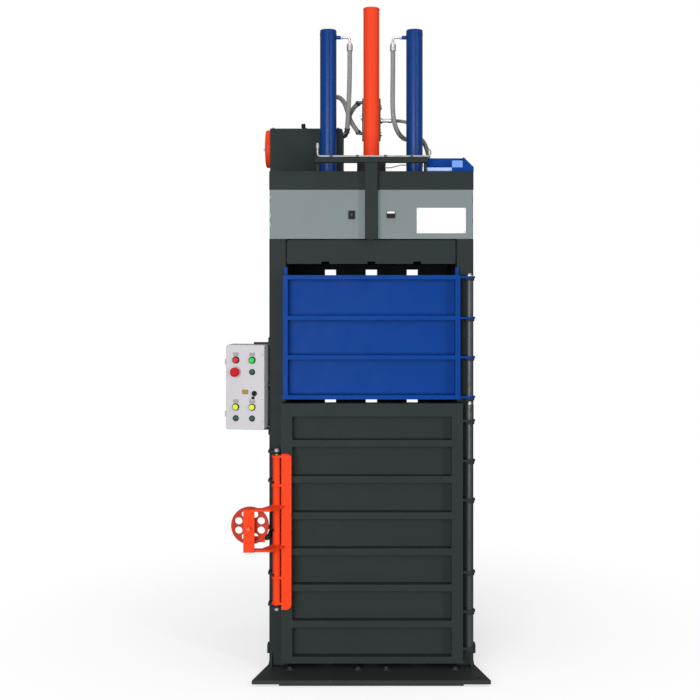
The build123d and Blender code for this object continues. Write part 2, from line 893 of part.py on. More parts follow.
def panel(side):
    y = (body_front - 2, body_front - 2 + panel_depth)
    z = (panel_bottom, panel_top - panel_gap)
    pan = block(span(side, panel_inner_x, panel_edge), y, z)
    inner_x = span(side, panel_inner_x + panel_sheet, panel_edge - panel_sheet)
    pan -= block(inner_x, (y[0] + panel_sheet, y[1]), (z[0] + panel_sheet, z[1] - panel_sheet))
    for hinge_z in panel_hinge_zs:
        low = hinge_z - panel_hinge_length / 2
        notch_z = (low - 1, low + panel_hinge_length + 1)
        pan -= block(span(side, panel_pin - 9, panel_edge), (y[0] + panel_sheet, y[1]), notch_z)
        pan -= block(span(side, panel_edge - panel_sheet, panel_edge), y, notch_z)
        third = panel_hinge_length / 3
        knuckle = disc(side * panel_pin, pin_y, panel_knuckle_r - 1)
        knuckle += Pos(side * (panel_pin - 7), y[0] + 2) * Rectangle(14, 3)
        knuckle -= disc(side * panel_pin, pin_y, hinge_pin_r + running)
        pan += along_z(knuckle, (low + third + 0.5, low + 2 * third - 0.5))
    hole = along_y(Pos(side * latch_x, latch_z) * Circle(9), y)
    return pan - hole


for name, piece in zip(("header_panel_left", "header_panel_right"), both(panel), strict=True):
    save(name, piece)

panel_hinges = []
for side in (-1, 1):
    for z in panel_hinge_zs:
        low = z - panel_hinge_length / 2
        third = panel_hinge_length / 3
        leaf = along_z(disc(side * panel_pin, pin_y, hinge_pin_r), (low, low + panel_hinge_length))
        for z_low in (low, low + 2 * third):
            knuckle = disc(side * panel_pin, pin_y, panel_knuckle_r - 1)
            web_y = (pin_y + cheek_front) / 2
            knuckle += Pos(side * (panel_pin + 0.5), web_y) * Rectangle(5, cheek_front - pin_y)
            knuckle += Pos(side * (panel_pin + 3.5), cheek_front - 2) * Rectangle(11, 4)
            leaf += along_z(knuckle, (z_low, z_low + third))
        panel_hinges.append(leaf)
save("panel_hinges", *panel_hinges)

latch_front = body_front - 2


def latch(side, upright):
    """A turn latch: a rounded body in front, a spindle and a cam behind the panel."""
    wide, tall = (34, 43) if upright else (43, 34)
    plate = RectangleRounded(wide, tall, 4)
    body = along_y(plate, (-6, 0))
    wing = RectangleRounded(12, tall - 8, 5) if upright else RectangleRounded(wide - 8, 12, 5)
    body += along_y(wing, (-13, -6))
    body += along_y(Circle(8.5), (0, panel_depth + 4))
    cam = Pos(0, 36) * Rectangle(16, 88)
    body += along_y(cam, (panel_depth + 4, panel_depth + 8))
    return Pos(side * latch_x, latch_front, latch_z) * body


save("latch_left", latch(-1, True))
save("latch_right", latch(1, False))

# Control box, turned a little outwards, held between two arms
box_place = Pos(box_x, box_y, box_bottom) * Rot(0, 0, box_turn)
half_w = box_width / 2
case_y = (box_lid, box_lid + box_depth)
case_x = (-half_w, half_w)
case = block(case_x, case_y, (0, box_height))
case = fillet(case.edges().filter_by(Axis.Y), 8)
case_inside_x = (case_x[0] + box_wall, case_x[1] - box_wall)
case -= block(case_inside_x, (case_y[0], case_y[1] - box_wall), (box_wall, box_height - box_wall))
knuckle_r = 5.5
lid_hinge_x = -half_w - knuckle_r - 0.5
lid_hinge_zs = (80, box_height - 80)
for z in lid_hinge_zs:
    leaf = disc(lid_hinge_x, case_y[0], knuckle_r)
    leaf += Pos(lid_hinge_x, case_y[0] + 7) * Rectangle(5, 14)
    leaf += Pos(lid_hinge_x + 3, case_y[0] + 12) * Rectangle(8, 5)
    case += along_z(leaf, (z - 20, z - 8.5))
    case += along_z(disc(lid_hinge_x, case_y[0], 3), (z - 10, z + 8))
save("control_box_case", box_place * case)

lid = block(case_x, (0, box_lid - 0.5), (0, box_height))
lid = fillet(lid.edges().filter_by(Axis.Y), 8)
lid = fillet(lid.edges().group_by(Axis.Y)[0], 3)
lid -= block((case_x[0] + 4, case_x[1] - 4), (lid_sheet, box_lid), (4, box_height - 4))
for z in lid_hinge_zs:
    knuckle = disc(lid_hinge_x, case_y[0], knuckle_r)
    knuckle += Pos(lid_hinge_x, case_y[0] - 7) * Rectangle(5, 14)
    knuckle += Pos(lid_hinge_x + 3, case_y[0] - 12) * Rectangle(8, 5)
    knuckle -= disc(lid_hinge_x, case_y[0], 3 + running)
    lid += along_z(knuckle, (z - 8, z + 8))


def bezel(u, w, radius, bore, height=bezel_height):
    ring = along_y(Pos(u, w) * (Circle(radius) - Circle(bore)), (-height, 3))
    return chamfer(ring.edges().group_by(Axis.Y)[0].sort_by(SortBy.LENGTH)[-1], 1.5)


left_u, right_u = left_column_u, right_column_u
push_places = {
    "stop_button": (left_u, top_row),
    "start_button": (right_u, top_row),
    "lift_button": (left_u, push_row),
    "press_button": (right_u, push_row),
}
lamp_places = [(right_u, stop_row), (left_u, lamp_row), (right_u, lamp_row)]
for u, w in push_places.values():
    lid -= along_y(Pos(u, w) * Circle(button_r + 0.5), (-1, 4))
    lid += bezel(u, w, bezel_r, button_r + 0.5)
for u, w in lamp_places:
    lid -= along_y(Pos(u, w) * Circle(lamp_r), (-1, 4))
    lid += bezel(u, w, lamp_r + 3, lamp_r, 3)
lid -= along_y(Pos(left_u, stop_row) * Circle(8.5), (-1, 4))
lid += bezel(left_u, stop_row, bezel_r, 8.5, 4)
key_u = 47
lid -= along_y(Pos(key_u, key_row) * Circle(key_r + running), (-1, 4))
lid += bezel(key_u, key_row, key_r + 4, key_r + running, 4)
lid += along_y(Pos(key_u - 8, key_row - 30) * Circle(7), (-8, 3))
for u in (left_u, right_u):
    for w in (top_row, push_row):
        lid += along_y(Pos(u, w + legend_rise) * Rectangle(26, 15), (-1.5, 0.5))
save("control_box_lid", box_place * lid)


def push_button(u, w):
    """A button's cap, which slides in its bezel, with a wider foot behind the lid."""
    cap = along_y(Pos(u, w) * Circle(button_r), (-button_out, lid_sheet + 8))
    cap = fillet(cap.edges().group_by(Axis.Y)[0], 2)
    foot = (lid_sheet + seat, lid_sheet + 3)
    return cap + along_y(Pos(u, w) * Circle(button_r + 2), foot)


for name, (u, w) in push_places.items():
    save(name, box_place * push_button(u, w))

lamps = []
for u, w in lamp_places:
    lens = along_y(Pos(u, w) * Circle(lamp_r - 0.1), (-8, 12))
    lamps.append(box_place * fillet(lens.edges().group_by(Axis.Y)[0], 5))
save("indicator_lamps", *lamps)

stop_points = [
    (0, 34),
    (mushroom_r - 6, 34),
    (mushroom_r, 28),
    (mushroom_r, 20),
    (12, 18),
    (8, 14),
    (8, -lid_sheet - seat),
    (11, -lid_sheet - seat),
    (11, -lid_sheet - 3),
    (8, -lid_sheet - 3),
    (8, -16),
    (0, -16),
]
stop_solid = revolve(Plane.XZ * outline(*stop_points), Axis.Z)
emergency_stop = Pos(left_u, 0, stop_row) * Rot(90, 0, 0) * stop_solid
save("emergency_stop", box_place * emergency_stop)
key = along_y(Pos(key_u, key_row) * Circle(key_r), (-9, 14))
key += along_y(Pos(key_u, key_row) * RectangleRounded(6, 2 * key_r + 4, 2.9), (-20, -9))
key += along_y(Pos(key_u, key_row) * Circle(key_r + 2), (lid_sheet + seat, lid_sheet + 3))
save("key_switch", box_place * key)

# Arms of the control box: flat bars from the left column over and under the case
arms = []
arm_y = (-345, -345 + arm_bar_depth)
arm_foot = 34
arm_tip = box_x + 36
box_top = box_bottom + box_height
for inner, outward in ((box_top + seat, 1), (box_bottom - seat, -1)):
    arm_z = sorted((inner, inner + outward * arm_bar))
    foot_z = sorted((inner, inner + outward * arm_foot))
    arm = block((arm_tip, -body_half), arm_y, arm_z)
    arm += block((-body_half - 6, -body_half), arm_y, foot_z)
    arms.append(arm)
save("control_box_arms", *arms)

# Power unit on the header: housing, lid with its breather, and the motor that stands out at the end
unit_face = Rectangle(unit_right - unit_left, unit_top - unit_lid_height - unit_bottom)
unit_middle_x = (unit_left + unit_right) / 2
unit_face = Pos(unit_middle_x, (unit_bottom + unit_top - unit_lid_height) / 2) * unit_face
housing = along_y(unit_face, (unit_front, unit_back))
housing_z = (unit_bottom + 5, unit_top - unit_lid_height)
housing -= block((unit_left, unit_right - 5), (unit_front + 5, unit_back - 5), housing_z)
save("power_unit_housing", housing)

lid_face = Rectangle(unit_right - unit_left + 1, unit_lid_height)
unit_cover_z = (unit_top - unit_lid_height, unit_top)
cover = Pos(unit_middle_x, sum(unit_cover_z) / 2) * lid_face
cover = fillet(cover.vertices().sort_by(Axis.X)[-2:].sort_by(Axis.Y)[-1], unit_lid_height - 2)
lid_plate = along_y(cover, (unit_front - 1, unit_back + 1))
breather_points = [(0, -1), (8, -1), (8, 14), (11, 16), (11, 34), (8, 36), (0, 36)]
save("power_unit_lid", lid_plate + Pos(breather_x, breather_y, unit_top) * turned(breather_points))

motor_points = [
    (0, motor_out),
    (motor_r - 6, motor_out),
    (motor_r - 2, motor_out - 2),
    (motor_r, motor_out - 6),
    (motor_r, 1.5),
    (motor_inner_r, 1.5),
    (motor_inner_r, -250),
    (0, -250),
]
motor = revolve(Plane.XZ * outline(*motor_points), Axis.Z)
motor += Pos(0, 0, motor_out - 4) * Cylinder(9, 14)
for i in range(4):
    a = radians(45 + 90 * i)
    motor -= Pos(52 * cos(a), 52 * sin(a), motor_out) * Cylinder(16, 10)
motor_place = Pos(unit_left, motor_y, motor_z)
motor = motor_place * Rot(0, -90, 0) * motor
feet_z = (unit_bottom + 5, motor_z - motor_inner_r + 8)
feet = block((unit_left + 30, unit_left + 170), (motor_y - 45, motor_y + 45), feet_z)
save("pump_motor", motor + feet)

# Manifold behind the guide tube, on an upright plate
manifold_y = (manifold_front, manifold_front + manifold_depth)
manifold = block((-manifold_half, manifold_half), manifold_y, (manifold_bottom, manifold_top))
manifold = chamfer(manifold.edges().filter_by(Axis.Z), 3)
plate_back = manifold_front + manifold_depth
manifold += block((-30, 30), (plate_back, plate_back + 8), (header_top, manifold_top - 10))
manifold += block((-34, 34), (plate_back - 34, plate_back + 8), (header_top, header_top + 8))
save("manifold_block", manifold)

# Valve tray on the right of the header: a folded sheet with a chamfered corner
tray_face = outline(
    (tray_left, header_top),
    (tray_right, header_top),
    (tray_right, tray_top - tray_chamfer),
    (tray_right - tray_chamfer, tray_top),
    (tray_left, tray_top),
)
tray = along_y(tray_face, (tray_front, tray_back))
tray_inside_x = (tray_left + tray_sheet, tray_right - tray_side)
tray -= block(tray_inside_x, (tray_front, tray_back - tray_sheet), (header_top + tray_sheet, tray_top))
tray_low = (header_top, header_top + tray_lip)
tray += block((tray_left, tray_right - tray_side), (tray_front, tray_front + tray_sheet), tray_low)
save("valve_tray", tray)
valve_x = (tray_inside_x[1] - 2 - valve_length, tray_inside_x[1] - 2)
valve_y = (tray_front + tray_sheet + 2, tray_back - tray_sheet)
valve = block(valve_x, valve_y, (header_top + tray_sheet, header_top + valve_height))
valve = chamfer(valve.edges().group_by(Axis.Z)[-1], 1.5)
spool_place = Pos(sum(valve_y) / 2, header_top + tray_sheet + 9)
valve += along_x(spool_place * Circle(8), (tray_left + 40, valve_x[0]))
save("valve_block", valve)

# Hoses: each ends in a ferrule. The routes are points chosen along the real hoses
port_x = ram_x - ram_r - port_length
ferrule_r = 15
elbow_x = 115
ferrule_low = port_z - 71
route_top = 3168  # height of the upper ferrules in the routes below

hose_routes = {
    "hose_left": [
        (-115, 0, 3168),
        (-115, 0, 3080),
        (-117, 5, 2992),
        (-120, 16, 2905),
        (-125, 35, 2832),
        (-129, 62, 2765),
    ],
    "hose_right": [
        (115, 0, 3168),
        (115, 0, 3070),
        (114, 3, 2978),
        (113, 5, 2890),
        (117, 12, 2815),
        (129, 29, 2766),
        (150, 60, 2730),
        (177, 101, 2711),
        (207, 145, 2713),
        (233, 185, 2735),
        (262, 228, 2737),
        (290, 269, 2718),
        (311, 300, 2681),
        (321, 318, 2632),
        (321, 318, 2574),
    ],
    "hose_pump": [
        (-74, 87, 2750),
        (-98, 89, 2782),
        (-117, 93, 2820),
        (-130, 101, 2862),
        (-146, 126, 2914),
        (-173, 168, 2948),
        (-205, 217, 2959),
        (-236, 266, 2943),
        (-261, 305, 2905),
        (-274, 326, 2850),
        (-274, 326, 2792),
    ],
    "hose_return": [
        (-76, 104, 2900),
        (-96, 117, 2883),
        (-113, 132, 2858),
        (-125, 147, 2828),
        (-132, 159, 2795),
        (-134, 165, 2762),
    ],
    "hose_valve": [
        (118, 87, 2808),
        (165, 87, 2808),
        (213, 85, 2791),
        (248, 83, 2751),
        (265, 81, 2696),
        (267, 80, 2638),
        (267, 80, 2578),
    ],
}
slim_hoses = ("hose_valve",)
for name in ("hose_left", "hose_right"):
    low = min(z for x, y, z in hose_routes[name])
    stretch = (ferrule_low - low) / (route_top - low)
    hose_routes[name] = [(x, y, low + (z - low) * stretch) for x, y, z in hose_routes[name]]


def hose(name, points, radius):
    """A round tube along straight runs joined by the largest arcs that the runs allow."""
    spots = [Vector(*p) for p in points]
    runs = [b - a for a, b in zip(spots, spots[1:])]
    radii = []
    for before, after in zip(runs, runs[1:]):
        turn = radians(before.get_angle(after))
        radii.append(0.45 * min(before.length, after.length) / tan(turn / 2))
    path = FilletPolyline(*spots, radius=radii)
    tube = sweep(Plane(origin=path @ 0, z_dir=path % 0) * Circle(radius), path)
    ratio = tube.volume / (pi * radius**2 * path.length)
    print(name, "length", round(path.length), "least radius", round(min(radii)), "ratio", round(ratio, 4))
    return tube


for name, points in hose_routes.items():
    width = slim_hose_d if name in slim_hoses else hose_d
    save(name, hose(name, points, width / 2))

# Fittings between the rams' oil ports and their hoses: a hexagon, a short pipe and a ferrule
fittings = []
for side in (-1, 1):
    corner = (side * elbow_x, 0, port_z)
    neck_points = [(side * (port_x - 1), 0, port_z), corner, (side * elbow_x, 0, ferrule_low + 30)]
    fitting = pipe(neck_points, 6.5, [14])
    fitting += along_x(Pos(0, port_z) * RegularPolygon(10, 6), span(side, port_x - 12, port_x - seat))
    ferrule_points = [
        (0, ferrule_low),
        (ferrule_r, ferrule_low),
        (ferrule_r, ferrule_low + 34),
        (10, ferrule_low + 42),
        (0, ferrule_low + 42),
    ]
    fitting += turned(ferrule_points, side * elbow_x)
    fittings.append(fitting)
save("port_fittings", *fittings)


def elbow(name, end, wall_x, reach=24, bend=18):
    """A bent fitting from a hose's end into an upright wall, with a ferrule on the hose."""
    point, beside = (Vector(*hose_routes[name][i]) for i in ((-1, -2) if end else (0, 1)))
    direction = (point - beside).normalized()
    corner = point + direction * reach
    wall = Vector(wall_x, corner.Y, corner.Z)
    fitting = pipe([point, corner, wall], 8, [bend])
    return fitting + extrude(Plane(origin=point, z_dir=direction) * Circle(ferrule_r), 12)


def upright_end(name, low, radius=ferrule_r):
    """A straight fitting from a hose's lower end down to a flat top."""
    x, y, z = hose_routes[name][-1]
    foot = [(0, low), (radius + 3, low), (radius + 3, low + 12), (9, low + 14)]
    ferrule = [(9, z - 24), (radius, z - 20), (radius, z), (0, z)]
    return turned(foot + ferrule, x, y)


valve_start = hose_routes["hose_valve"][0]
valve_pipe = Pos(valve_start[1], valve_start[2]) * Circle(8)
ends = [
    elbow("hose_left", True, unit_right, 32),
    elbow("hose_return", True, unit_right, 32),
    elbow("hose_pump", False, -manifold_half, 14, 12),
    elbow("hose_return", False, -manifold_half, 14, 12),
    upright_end("hose_pump", unit_top),
    upright_end("hose_right", header_top),
    upright_end("hose_valve", header_top, 12),
    along_x(valve_pipe, (manifold_half, valve_start[0])),
]
save("hose_ends", *ends)
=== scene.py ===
from math import cos, pi, radians, sin

import bmesh
import bpy
import numpy as np
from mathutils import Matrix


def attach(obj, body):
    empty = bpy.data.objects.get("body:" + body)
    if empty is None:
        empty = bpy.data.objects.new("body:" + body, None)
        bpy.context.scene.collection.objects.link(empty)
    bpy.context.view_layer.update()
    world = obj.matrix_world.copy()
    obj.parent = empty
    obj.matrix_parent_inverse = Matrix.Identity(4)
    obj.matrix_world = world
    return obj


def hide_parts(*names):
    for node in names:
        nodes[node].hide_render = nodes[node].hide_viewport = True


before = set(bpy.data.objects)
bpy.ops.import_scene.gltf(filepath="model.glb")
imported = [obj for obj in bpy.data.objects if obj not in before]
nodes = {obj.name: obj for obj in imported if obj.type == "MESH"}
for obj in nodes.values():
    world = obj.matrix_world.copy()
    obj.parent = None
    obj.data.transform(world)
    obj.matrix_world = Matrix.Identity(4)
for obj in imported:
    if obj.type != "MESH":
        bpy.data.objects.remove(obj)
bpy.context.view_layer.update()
scene = bpy.context.scene


# The studio
# A pale floor under four soft lamps. The camera looks level from 1.97 m up, and is shifted down and a little
# left to frame the press.
scene.view_settings.view_transform = "Standard"
picture_side, focal_length = 700, 1100  # both in pixels of the photograph
film_width = 36
camera = bpy.data.objects.new("camera", bpy.data.cameras.new("camera"))
scene.collection.objects.link(camera)
camera.location = (0, -5.86, 1.974)
camera.rotation_euler = (pi / 2, 0, 0)
camera.data.sensor_width = film_width
camera.data.lens = focal_length * film_width / picture_side
camera.data.shift_x = -0.0305
camera.data.shift_y = -0.107
scene.camera = camera


def lamp(name, place, aim, width, height, power):
    """A soft rectangular lamp that looks from one point to another."""
    light = bpy.data.lights.new(name, "AREA")
    light.shape = "RECTANGLE"
    light.size = width
    light.size_y = height
    light.energy = power
    lamp_object = bpy.data.objects.new(name, light)
    scene.collection.objects.link(lamp_object)
    start = np.array(place, float)
    way = np.array(aim, float) - start
    way /= np.linalg.norm(way)
    lamp_object.location = place
    lamp_object.rotation_euler = (np.arccos(-way[2]), 0, np.arctan2(-way[0], way[1]))


lamp("front_fill", (-1.8, -7.6, 2.1), (0, 0, 1.5), 5.0, 4.0, 400)
lamp("low_fill", (-1.2, -5.4, 0.5), (0, 0, 0.7), 1.6, 0.8, 48)
lamp("right_strip", (3.9, -4.7, 2.2), (0, 0, 1.6), 0.4, 4.6, 100)
lamp("top_softbox", (0, -1.0, 6.6), (0, 0, 2.0), 4.0, 4.0, 80)


def add(tree, kind, values=None, **settings):
    """A node of one kind with its settings and its unlinked inputs' values."""
    node = tree.nodes.new("ShaderNode" + kind)
    for key, value in settings.items():
        setattr(node, key, value)
    for key, value in (values or {}).items():
        node.inputs[key].default_value = value
    return node


def link(tree, *pairs):
    """Links each output to its input."""
    for output, target in pairs:
        tree.links.new(output, target)


# The world is plain white to the camera and through glass, and a weaker light on the press
world = bpy.data.worlds.new("studio_world")
scene.world = world
world.use_nodes = True
tree = world.node_tree
background = tree.nodes["Background"]
background.inputs["Color"].default_value = (1, 1, 1, 1)
path = add(tree, "LightPath")
seen = add(tree, "Math", operation="MAXIMUM")
strength = add(tree, "MapRange", {"To Min": 0.38, "To Max": 1.0})
link(
    tree,
    (path.outputs["Is Camera Ray"], seen.inputs[0]),
    (path.outputs["Is Transmission Ray"], seen.inputs[1]),
    (seen.outputs[0], strength.inputs["Value"]),
    (strength.outputs["Result"], background.inputs["Strength"]),
)

# Near the press the floor takes light and shadow on mid grey. Further off it is a white that only the camera
# sees.
floor_mesh = bpy.data.meshes.new("studio_floor")
floor_mesh.from_pydata([(-30, -12, 0), (30, -12, 0), (30, 40, 0), (-30, 40, 0)], [], [(0, 1, 2, 3)])
floor = bpy.data.objects.new("studio_floor", floor_mesh)
scene.collection.objects.link(floor)
floor_paint = bpy.data.materials.new("studio_floor")
floor_paint.use_nodes = True
tree = floor_paint.node_tree
shader = tree.nodes["Principled BSDF"]
shader.inputs["Roughness"].default_value = 1.0
shader.inputs["Specular IOR Level"].default_value = 0.0
where = add(tree, "TexCoord")
length = add(tree, "VectorMath", operation="LENGTH")
far = add(tree, "MapRange", {"From Min": 0.7, "From Max": 2.6}, interpolation_type="SMOOTHSTEP")
base = add(tree, "Mix", {"A": (0.5, 0.5, 0.5, 1), "B": (0, 0, 0, 1)}, data_type="RGBA")
level = add(tree, "MapRange", {"To Min": 0.6, "To Max": 1.0})
path = add(tree, "LightPath")
seen = add(tree, "Math", operation="MULTIPLY")
glow = add(tree, "Emission", {"Color": (1, 1, 1, 1)})
lit = add(tree, "AddShader")
link(
    tree,
    (where.outputs["Object"], length.inputs[0]),
    (length.outputs["Value"], far.inputs["Value"]),
    (far.outputs[0], base.inputs["Factor"]),
    (base.outputs["Result"], shader.inputs["Base Color"]),
    (far.outputs[0], level.inputs["Value"]),
    (path.outputs["Is Camera Ray"], seen.inputs[0]),
    (level.outputs[0], seen.inputs[1]),
    (seen.outputs[0], glow.inputs["Strength"]),
    (shader.outputs[0], lit.inputs[0]),
    (glow.outputs[0], lit.inputs[1]),
    (lit.outputs[0], tree.nodes["Material Output"].inputs["Surface"]),
)
floor_mesh.materials.append(floor_paint)


# Hydraulic hoses
# Two-wire braided hoses in a grey cover run from the rams' upper ports and the manifold to the power unit.
# Each lies on its own curve between two crimped ends.
def shader_group(name, inputs, outputs):
    """A node group with named sockets: inputs and outputs are (name, type, default) or (name, type)."""
    group = bpy.data.node_groups.new(name, "ShaderNodeTree")
    for socket in inputs:
        made = group.interface.new_socket(socket[0], in_out="INPUT", socket_type="NodeSocket" + socket[1])
        if len(socket) > 2:
            made.default_value = socket[2]
    for socket in outputs:
        group.interface.new_socket(socket[0], in_out="OUTPUT", socket_type="NodeSocket" + socket[1])
    return group, group.nodes.new("NodeGroupInput"), group.nodes.new("NodeGroupOutput")


# Braid: two sets of strands that cross along the hose, from the hose's own UV map
braid, into, out = shader_group(
    "braid", [("Strands", "Float", 20.0)], [("Height", "Float"), ("Tint", "Float")]
)
uv = add(braid, "UVMap", uv_map="along")
split = add(braid, "SeparateXYZ")
link(braid, (uv.outputs[0], split.inputs[0]))
waves = []
for sign in (1, -1):
    turn = add(braid, "Math", {1: sign * 2.0}, operation="MULTIPLY")
    link(braid, (split.outputs["Y"], turn.inputs[0]))
    both = add(braid, "Math", operation="ADD")
    link(braid, (split.outputs["X"], both.inputs[0]), (turn.outputs[0], both.inputs[1]))
    many = add(braid, "Math", operation="MULTIPLY")
    link(braid, (both.outputs[0], many.inputs[0]), (into.outputs["Strands"], many.inputs[1]))
    angle = add(braid, "Math", {1: 2 * pi}, operation="MULTIPLY")
    link(braid, (many.outputs[0], angle.inputs[0]))
    wave = add(braid, "Math", operation="SINE")
    link(braid, (angle.outputs[0], wave.inputs[0]))
    waves.append(wave)
weave = add(braid, "Math", operation="MAXIMUM")
link(braid, (waves[0].outputs[0], weave.inputs[0]), (waves[1].outputs[0], weave.inputs[1]))
soft = add(braid, "MapRange", {"From Min": -1.0, "From Max": 1.0, "To Min": 0.0, "To Max": 1.0})
link(braid, (weave.outputs[0], soft.inputs["Value"]), (soft.outputs[0], out.inputs["Height"]))
spots = add(braid, "TexNoise", {"Scale": 60.0, "Detail": 3.0})
place = add(braid, "TexCoord")
link(braid, (place.outputs["Object"], spots.inputs["Vector"]), (spots.outputs["Fac"], out.inputs["Tint"]))

hose_cover = bpy.data.materials.new("hose_cover")
hose_cover.use_nodes = True
tree = hose_cover.node_tree
shader = tree.nodes["Principled BSDF"]
pattern = add(tree, "Group", node_tree=braid)
ramp = add(tree, "ValToRGB")
ramp.color_ramp.elements[0].color = (0.09, 0.092, 0.092, 1)
ramp.color_ramp.elements[1].color = (0.36, 0.37, 0.37, 1)
tinted = add(tree, "MapRange", {"From Min": 0.2, "From Max": 0.8, "To Min": -0.15, "To Max": 0.2})
summed = add(tree, "Math", operation="ADD")
lifted = add(tree, "Bump", {"Strength": 0.7, "Distance": 0.0012})
link(
    tree,
    (pattern.outputs["Tint"], tinted.inputs["Value"]),
    (pattern.outputs["Height"], summed.inputs[0]),
    (tinted.outputs[0], summed.inputs[1]),
    (summed.outputs[0], ramp.inputs[0]),
    (ramp.outputs[0], shader.inputs["Base Color"]),
    (pattern.outputs["Height"], lifted.inputs["Height"]),
    (lifted.outputs[0], shader.inputs["Normal"]),
)
shader.inputs["Roughness"].default_value = 0.55

hose_routes = {
    "hose_left": [
        (-0.115, 0, 3.168),
        (-0.115, 0, 3.080),
        (-0.117, 0.005, 2.992),
        (-0.120, 0.016, 2.905),
        (-0.125, 0.035, 2.832),
        (-0.129, 0.062, 2.765),
    ],
    "hose_right": [
        (0.115, 0, 3.168),
        (0.115, 0, 3.070),
        (0.114, 0.003, 2.978),
        (0.113, 0.005, 2.890),
        (0.117, 0.012, 2.815),
        (0.129, 0.029, 2.766),
        (0.150, 0.060, 2.730),
        (0.177, 0.101, 2.711),
        (0.207, 0.145, 2.713),
        (0.233, 0.185, 2.735),
        (0.262, 0.228, 2.737),
        (0.290, 0.269, 2.718),
        (0.311, 0.300, 2.681),
        (0.321, 0.318, 2.632),
        (0.321, 0.318, 2.574),
    ],
    "hose_pump": [
        (-0.074, 0.087, 2.750),
        (-0.098, 0.089, 2.782),
        (-0.117, 0.093, 2.820),
        (-0.130, 0.101, 2.862),
        (-0.146, 0.126, 2.914),
        (-0.173, 0.168, 2.948),
        (-0.205, 0.217, 2.959),
        (-0.236, 0.266, 2.943),
        (-0.261, 0.305, 2.905),
        (-0.274, 0.326, 2.850),
        (-0.274, 0.326, 2.792),
    ],
    "hose_return": [
        (-0.076, 0.104, 2.900),
        (-0.096, 0.117, 2.883),
        (-0.113, 0.132, 2.858),
        (-0.125, 0.147, 2.828),
        (-0.132, 0.159, 2.795),
        (-0.134, 0.165, 2.762),
    ],
    "hose_valve": [
        (0.118, 0.087, 2.808),
        (0.165, 0.087, 2.808),
        (0.213, 0.085, 2.791),
        (0.248, 0.083, 2.751),
        (0.265, 0.081, 2.696),
        (0.267, 0.080, 2.638),
        (0.267, 0.080, 2.578),
    ],
}


def spline_points(name, points):
    """The smooth line that the route's points pull, read from a NURBS spline of order three."""
    line = bpy.data.curves.new(name, "CURVE")
    line.dimensions = "3D"
    line.resolution_u = 8
    spline = line.splines.new("NURBS")
    spline.points.add(len(points) - 1)
    for control, point in zip(spline.points, points):
        control.co = (*point, 1)
    spline.order_u = 3
    spline.use_endpoint_u = True
    holder = bpy.data.objects.new(name, line)
    scene.collection.objects.link(holder)
    bpy.context.view_layer.update()
    mesh = bpy.data.meshes.new_from_object(holder)
    found = np.zeros(len(mesh.vertices) * 3)
    mesh.vertices.foreach_get("co", found)
    bpy.data.objects.remove(holder)
    bpy.data.meshes.remove(mesh)
    return found.reshape(-1, 3)


def ring_faces(rows, sides, first=0):
    """The four-sided faces between closed rings of points that are numbered ring after ring."""
    index = np.arange(rows * sides).reshape(rows, sides) + first
    following = np.roll(index, -1, axis=1)
    quads = np.stack([index[:-1], following[:-1], following[1:], index[1:]], axis=-1)
    return quads.reshape(-1, 4).tolist()


def skin_piece(name, points, faces, material, body, smooth=True, cad=()):
    """A piece from its points and faces, with all normals outwards, that rides one body."""
    mesh = bpy.data.meshes.new(name)
    mesh.from_pydata(points.tolist(), [], faces)
    skin = bmesh.new()
    skin.from_mesh(mesh)
    bmesh.ops.recalc_face_normals(skin, faces=skin.faces)
    skin.to_mesh(mesh)
    skin.free()
    mesh.polygons.foreach_set("use_smooth", np.full(len(mesh.polygons), smooth))
    mesh.materials.append(material)
    piece = bpy.data.objects.new(name, mesh)
    scene.collection.objects.link(piece)
    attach(piece, body)
    if cad:
        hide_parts(*cad)
    return piece


def tube_around(line, radius, sides):
    """Rings of points round a line: each is a circle across the line, turned as little as it can be."""
    ways = np.gradient(line, axis=0)
    ways /= np.linalg.norm(ways, axis=1)[:, None]
    side = np.cross(ways[0], (0.37, 0.21, 0.9))
    side /= np.linalg.norm(side)
    firsts = []
    for way in ways:
        side = side - way * side.dot(way)
        side /= np.linalg.norm(side)
        firsts.append(side)
    firsts = np.array(firsts)
    seconds = np.cross(ways, firsts)
    angles = np.linspace(0, 2 * pi, sides, endpoint=False)[None, :, None]
    circles = firsts[:, None] * np.cos(angles) + seconds[:, None] * np.sin(angles)
    return (line[:, None] + radius * circles).reshape(-1, 3)


hose_sides = 32
for name, route in hose_routes.items():
    diameter = 0.018 if name == "hose_valve" else 0.025
    line = spline_points(name + "_line", route)
    tube = tube_around(line, diameter / 2, hose_sides)
    faces = ring_faces(len(line), hose_sides)
    piece = skin_piece(name + "_cover", tube, faces, hose_cover, "press_bodywork", cad=(name,))
    steps = np.concatenate([[0], np.cumsum(np.linalg.norm(np.diff(line, axis=0), axis=1))])
    uv_layer = piece.data.uv_layers.new(name="along")
    loops = np.zeros(len(piece.data.loops), int)
    piece.data.loops.foreach_get("vertex_index", loops)
    across = ((loops % hose_sides) / hose_sides).reshape(-1, 4)
    seam = np.ptp(across, axis=1) > 0.5
    across[seam] += across[seam] < 0.5
    along = steps[loops // hose_sides] / (pi * diameter)
    uv_layer.data.foreach_set("uv", np.stack([across.reshape(-1), along], axis=1).reshape(-1))


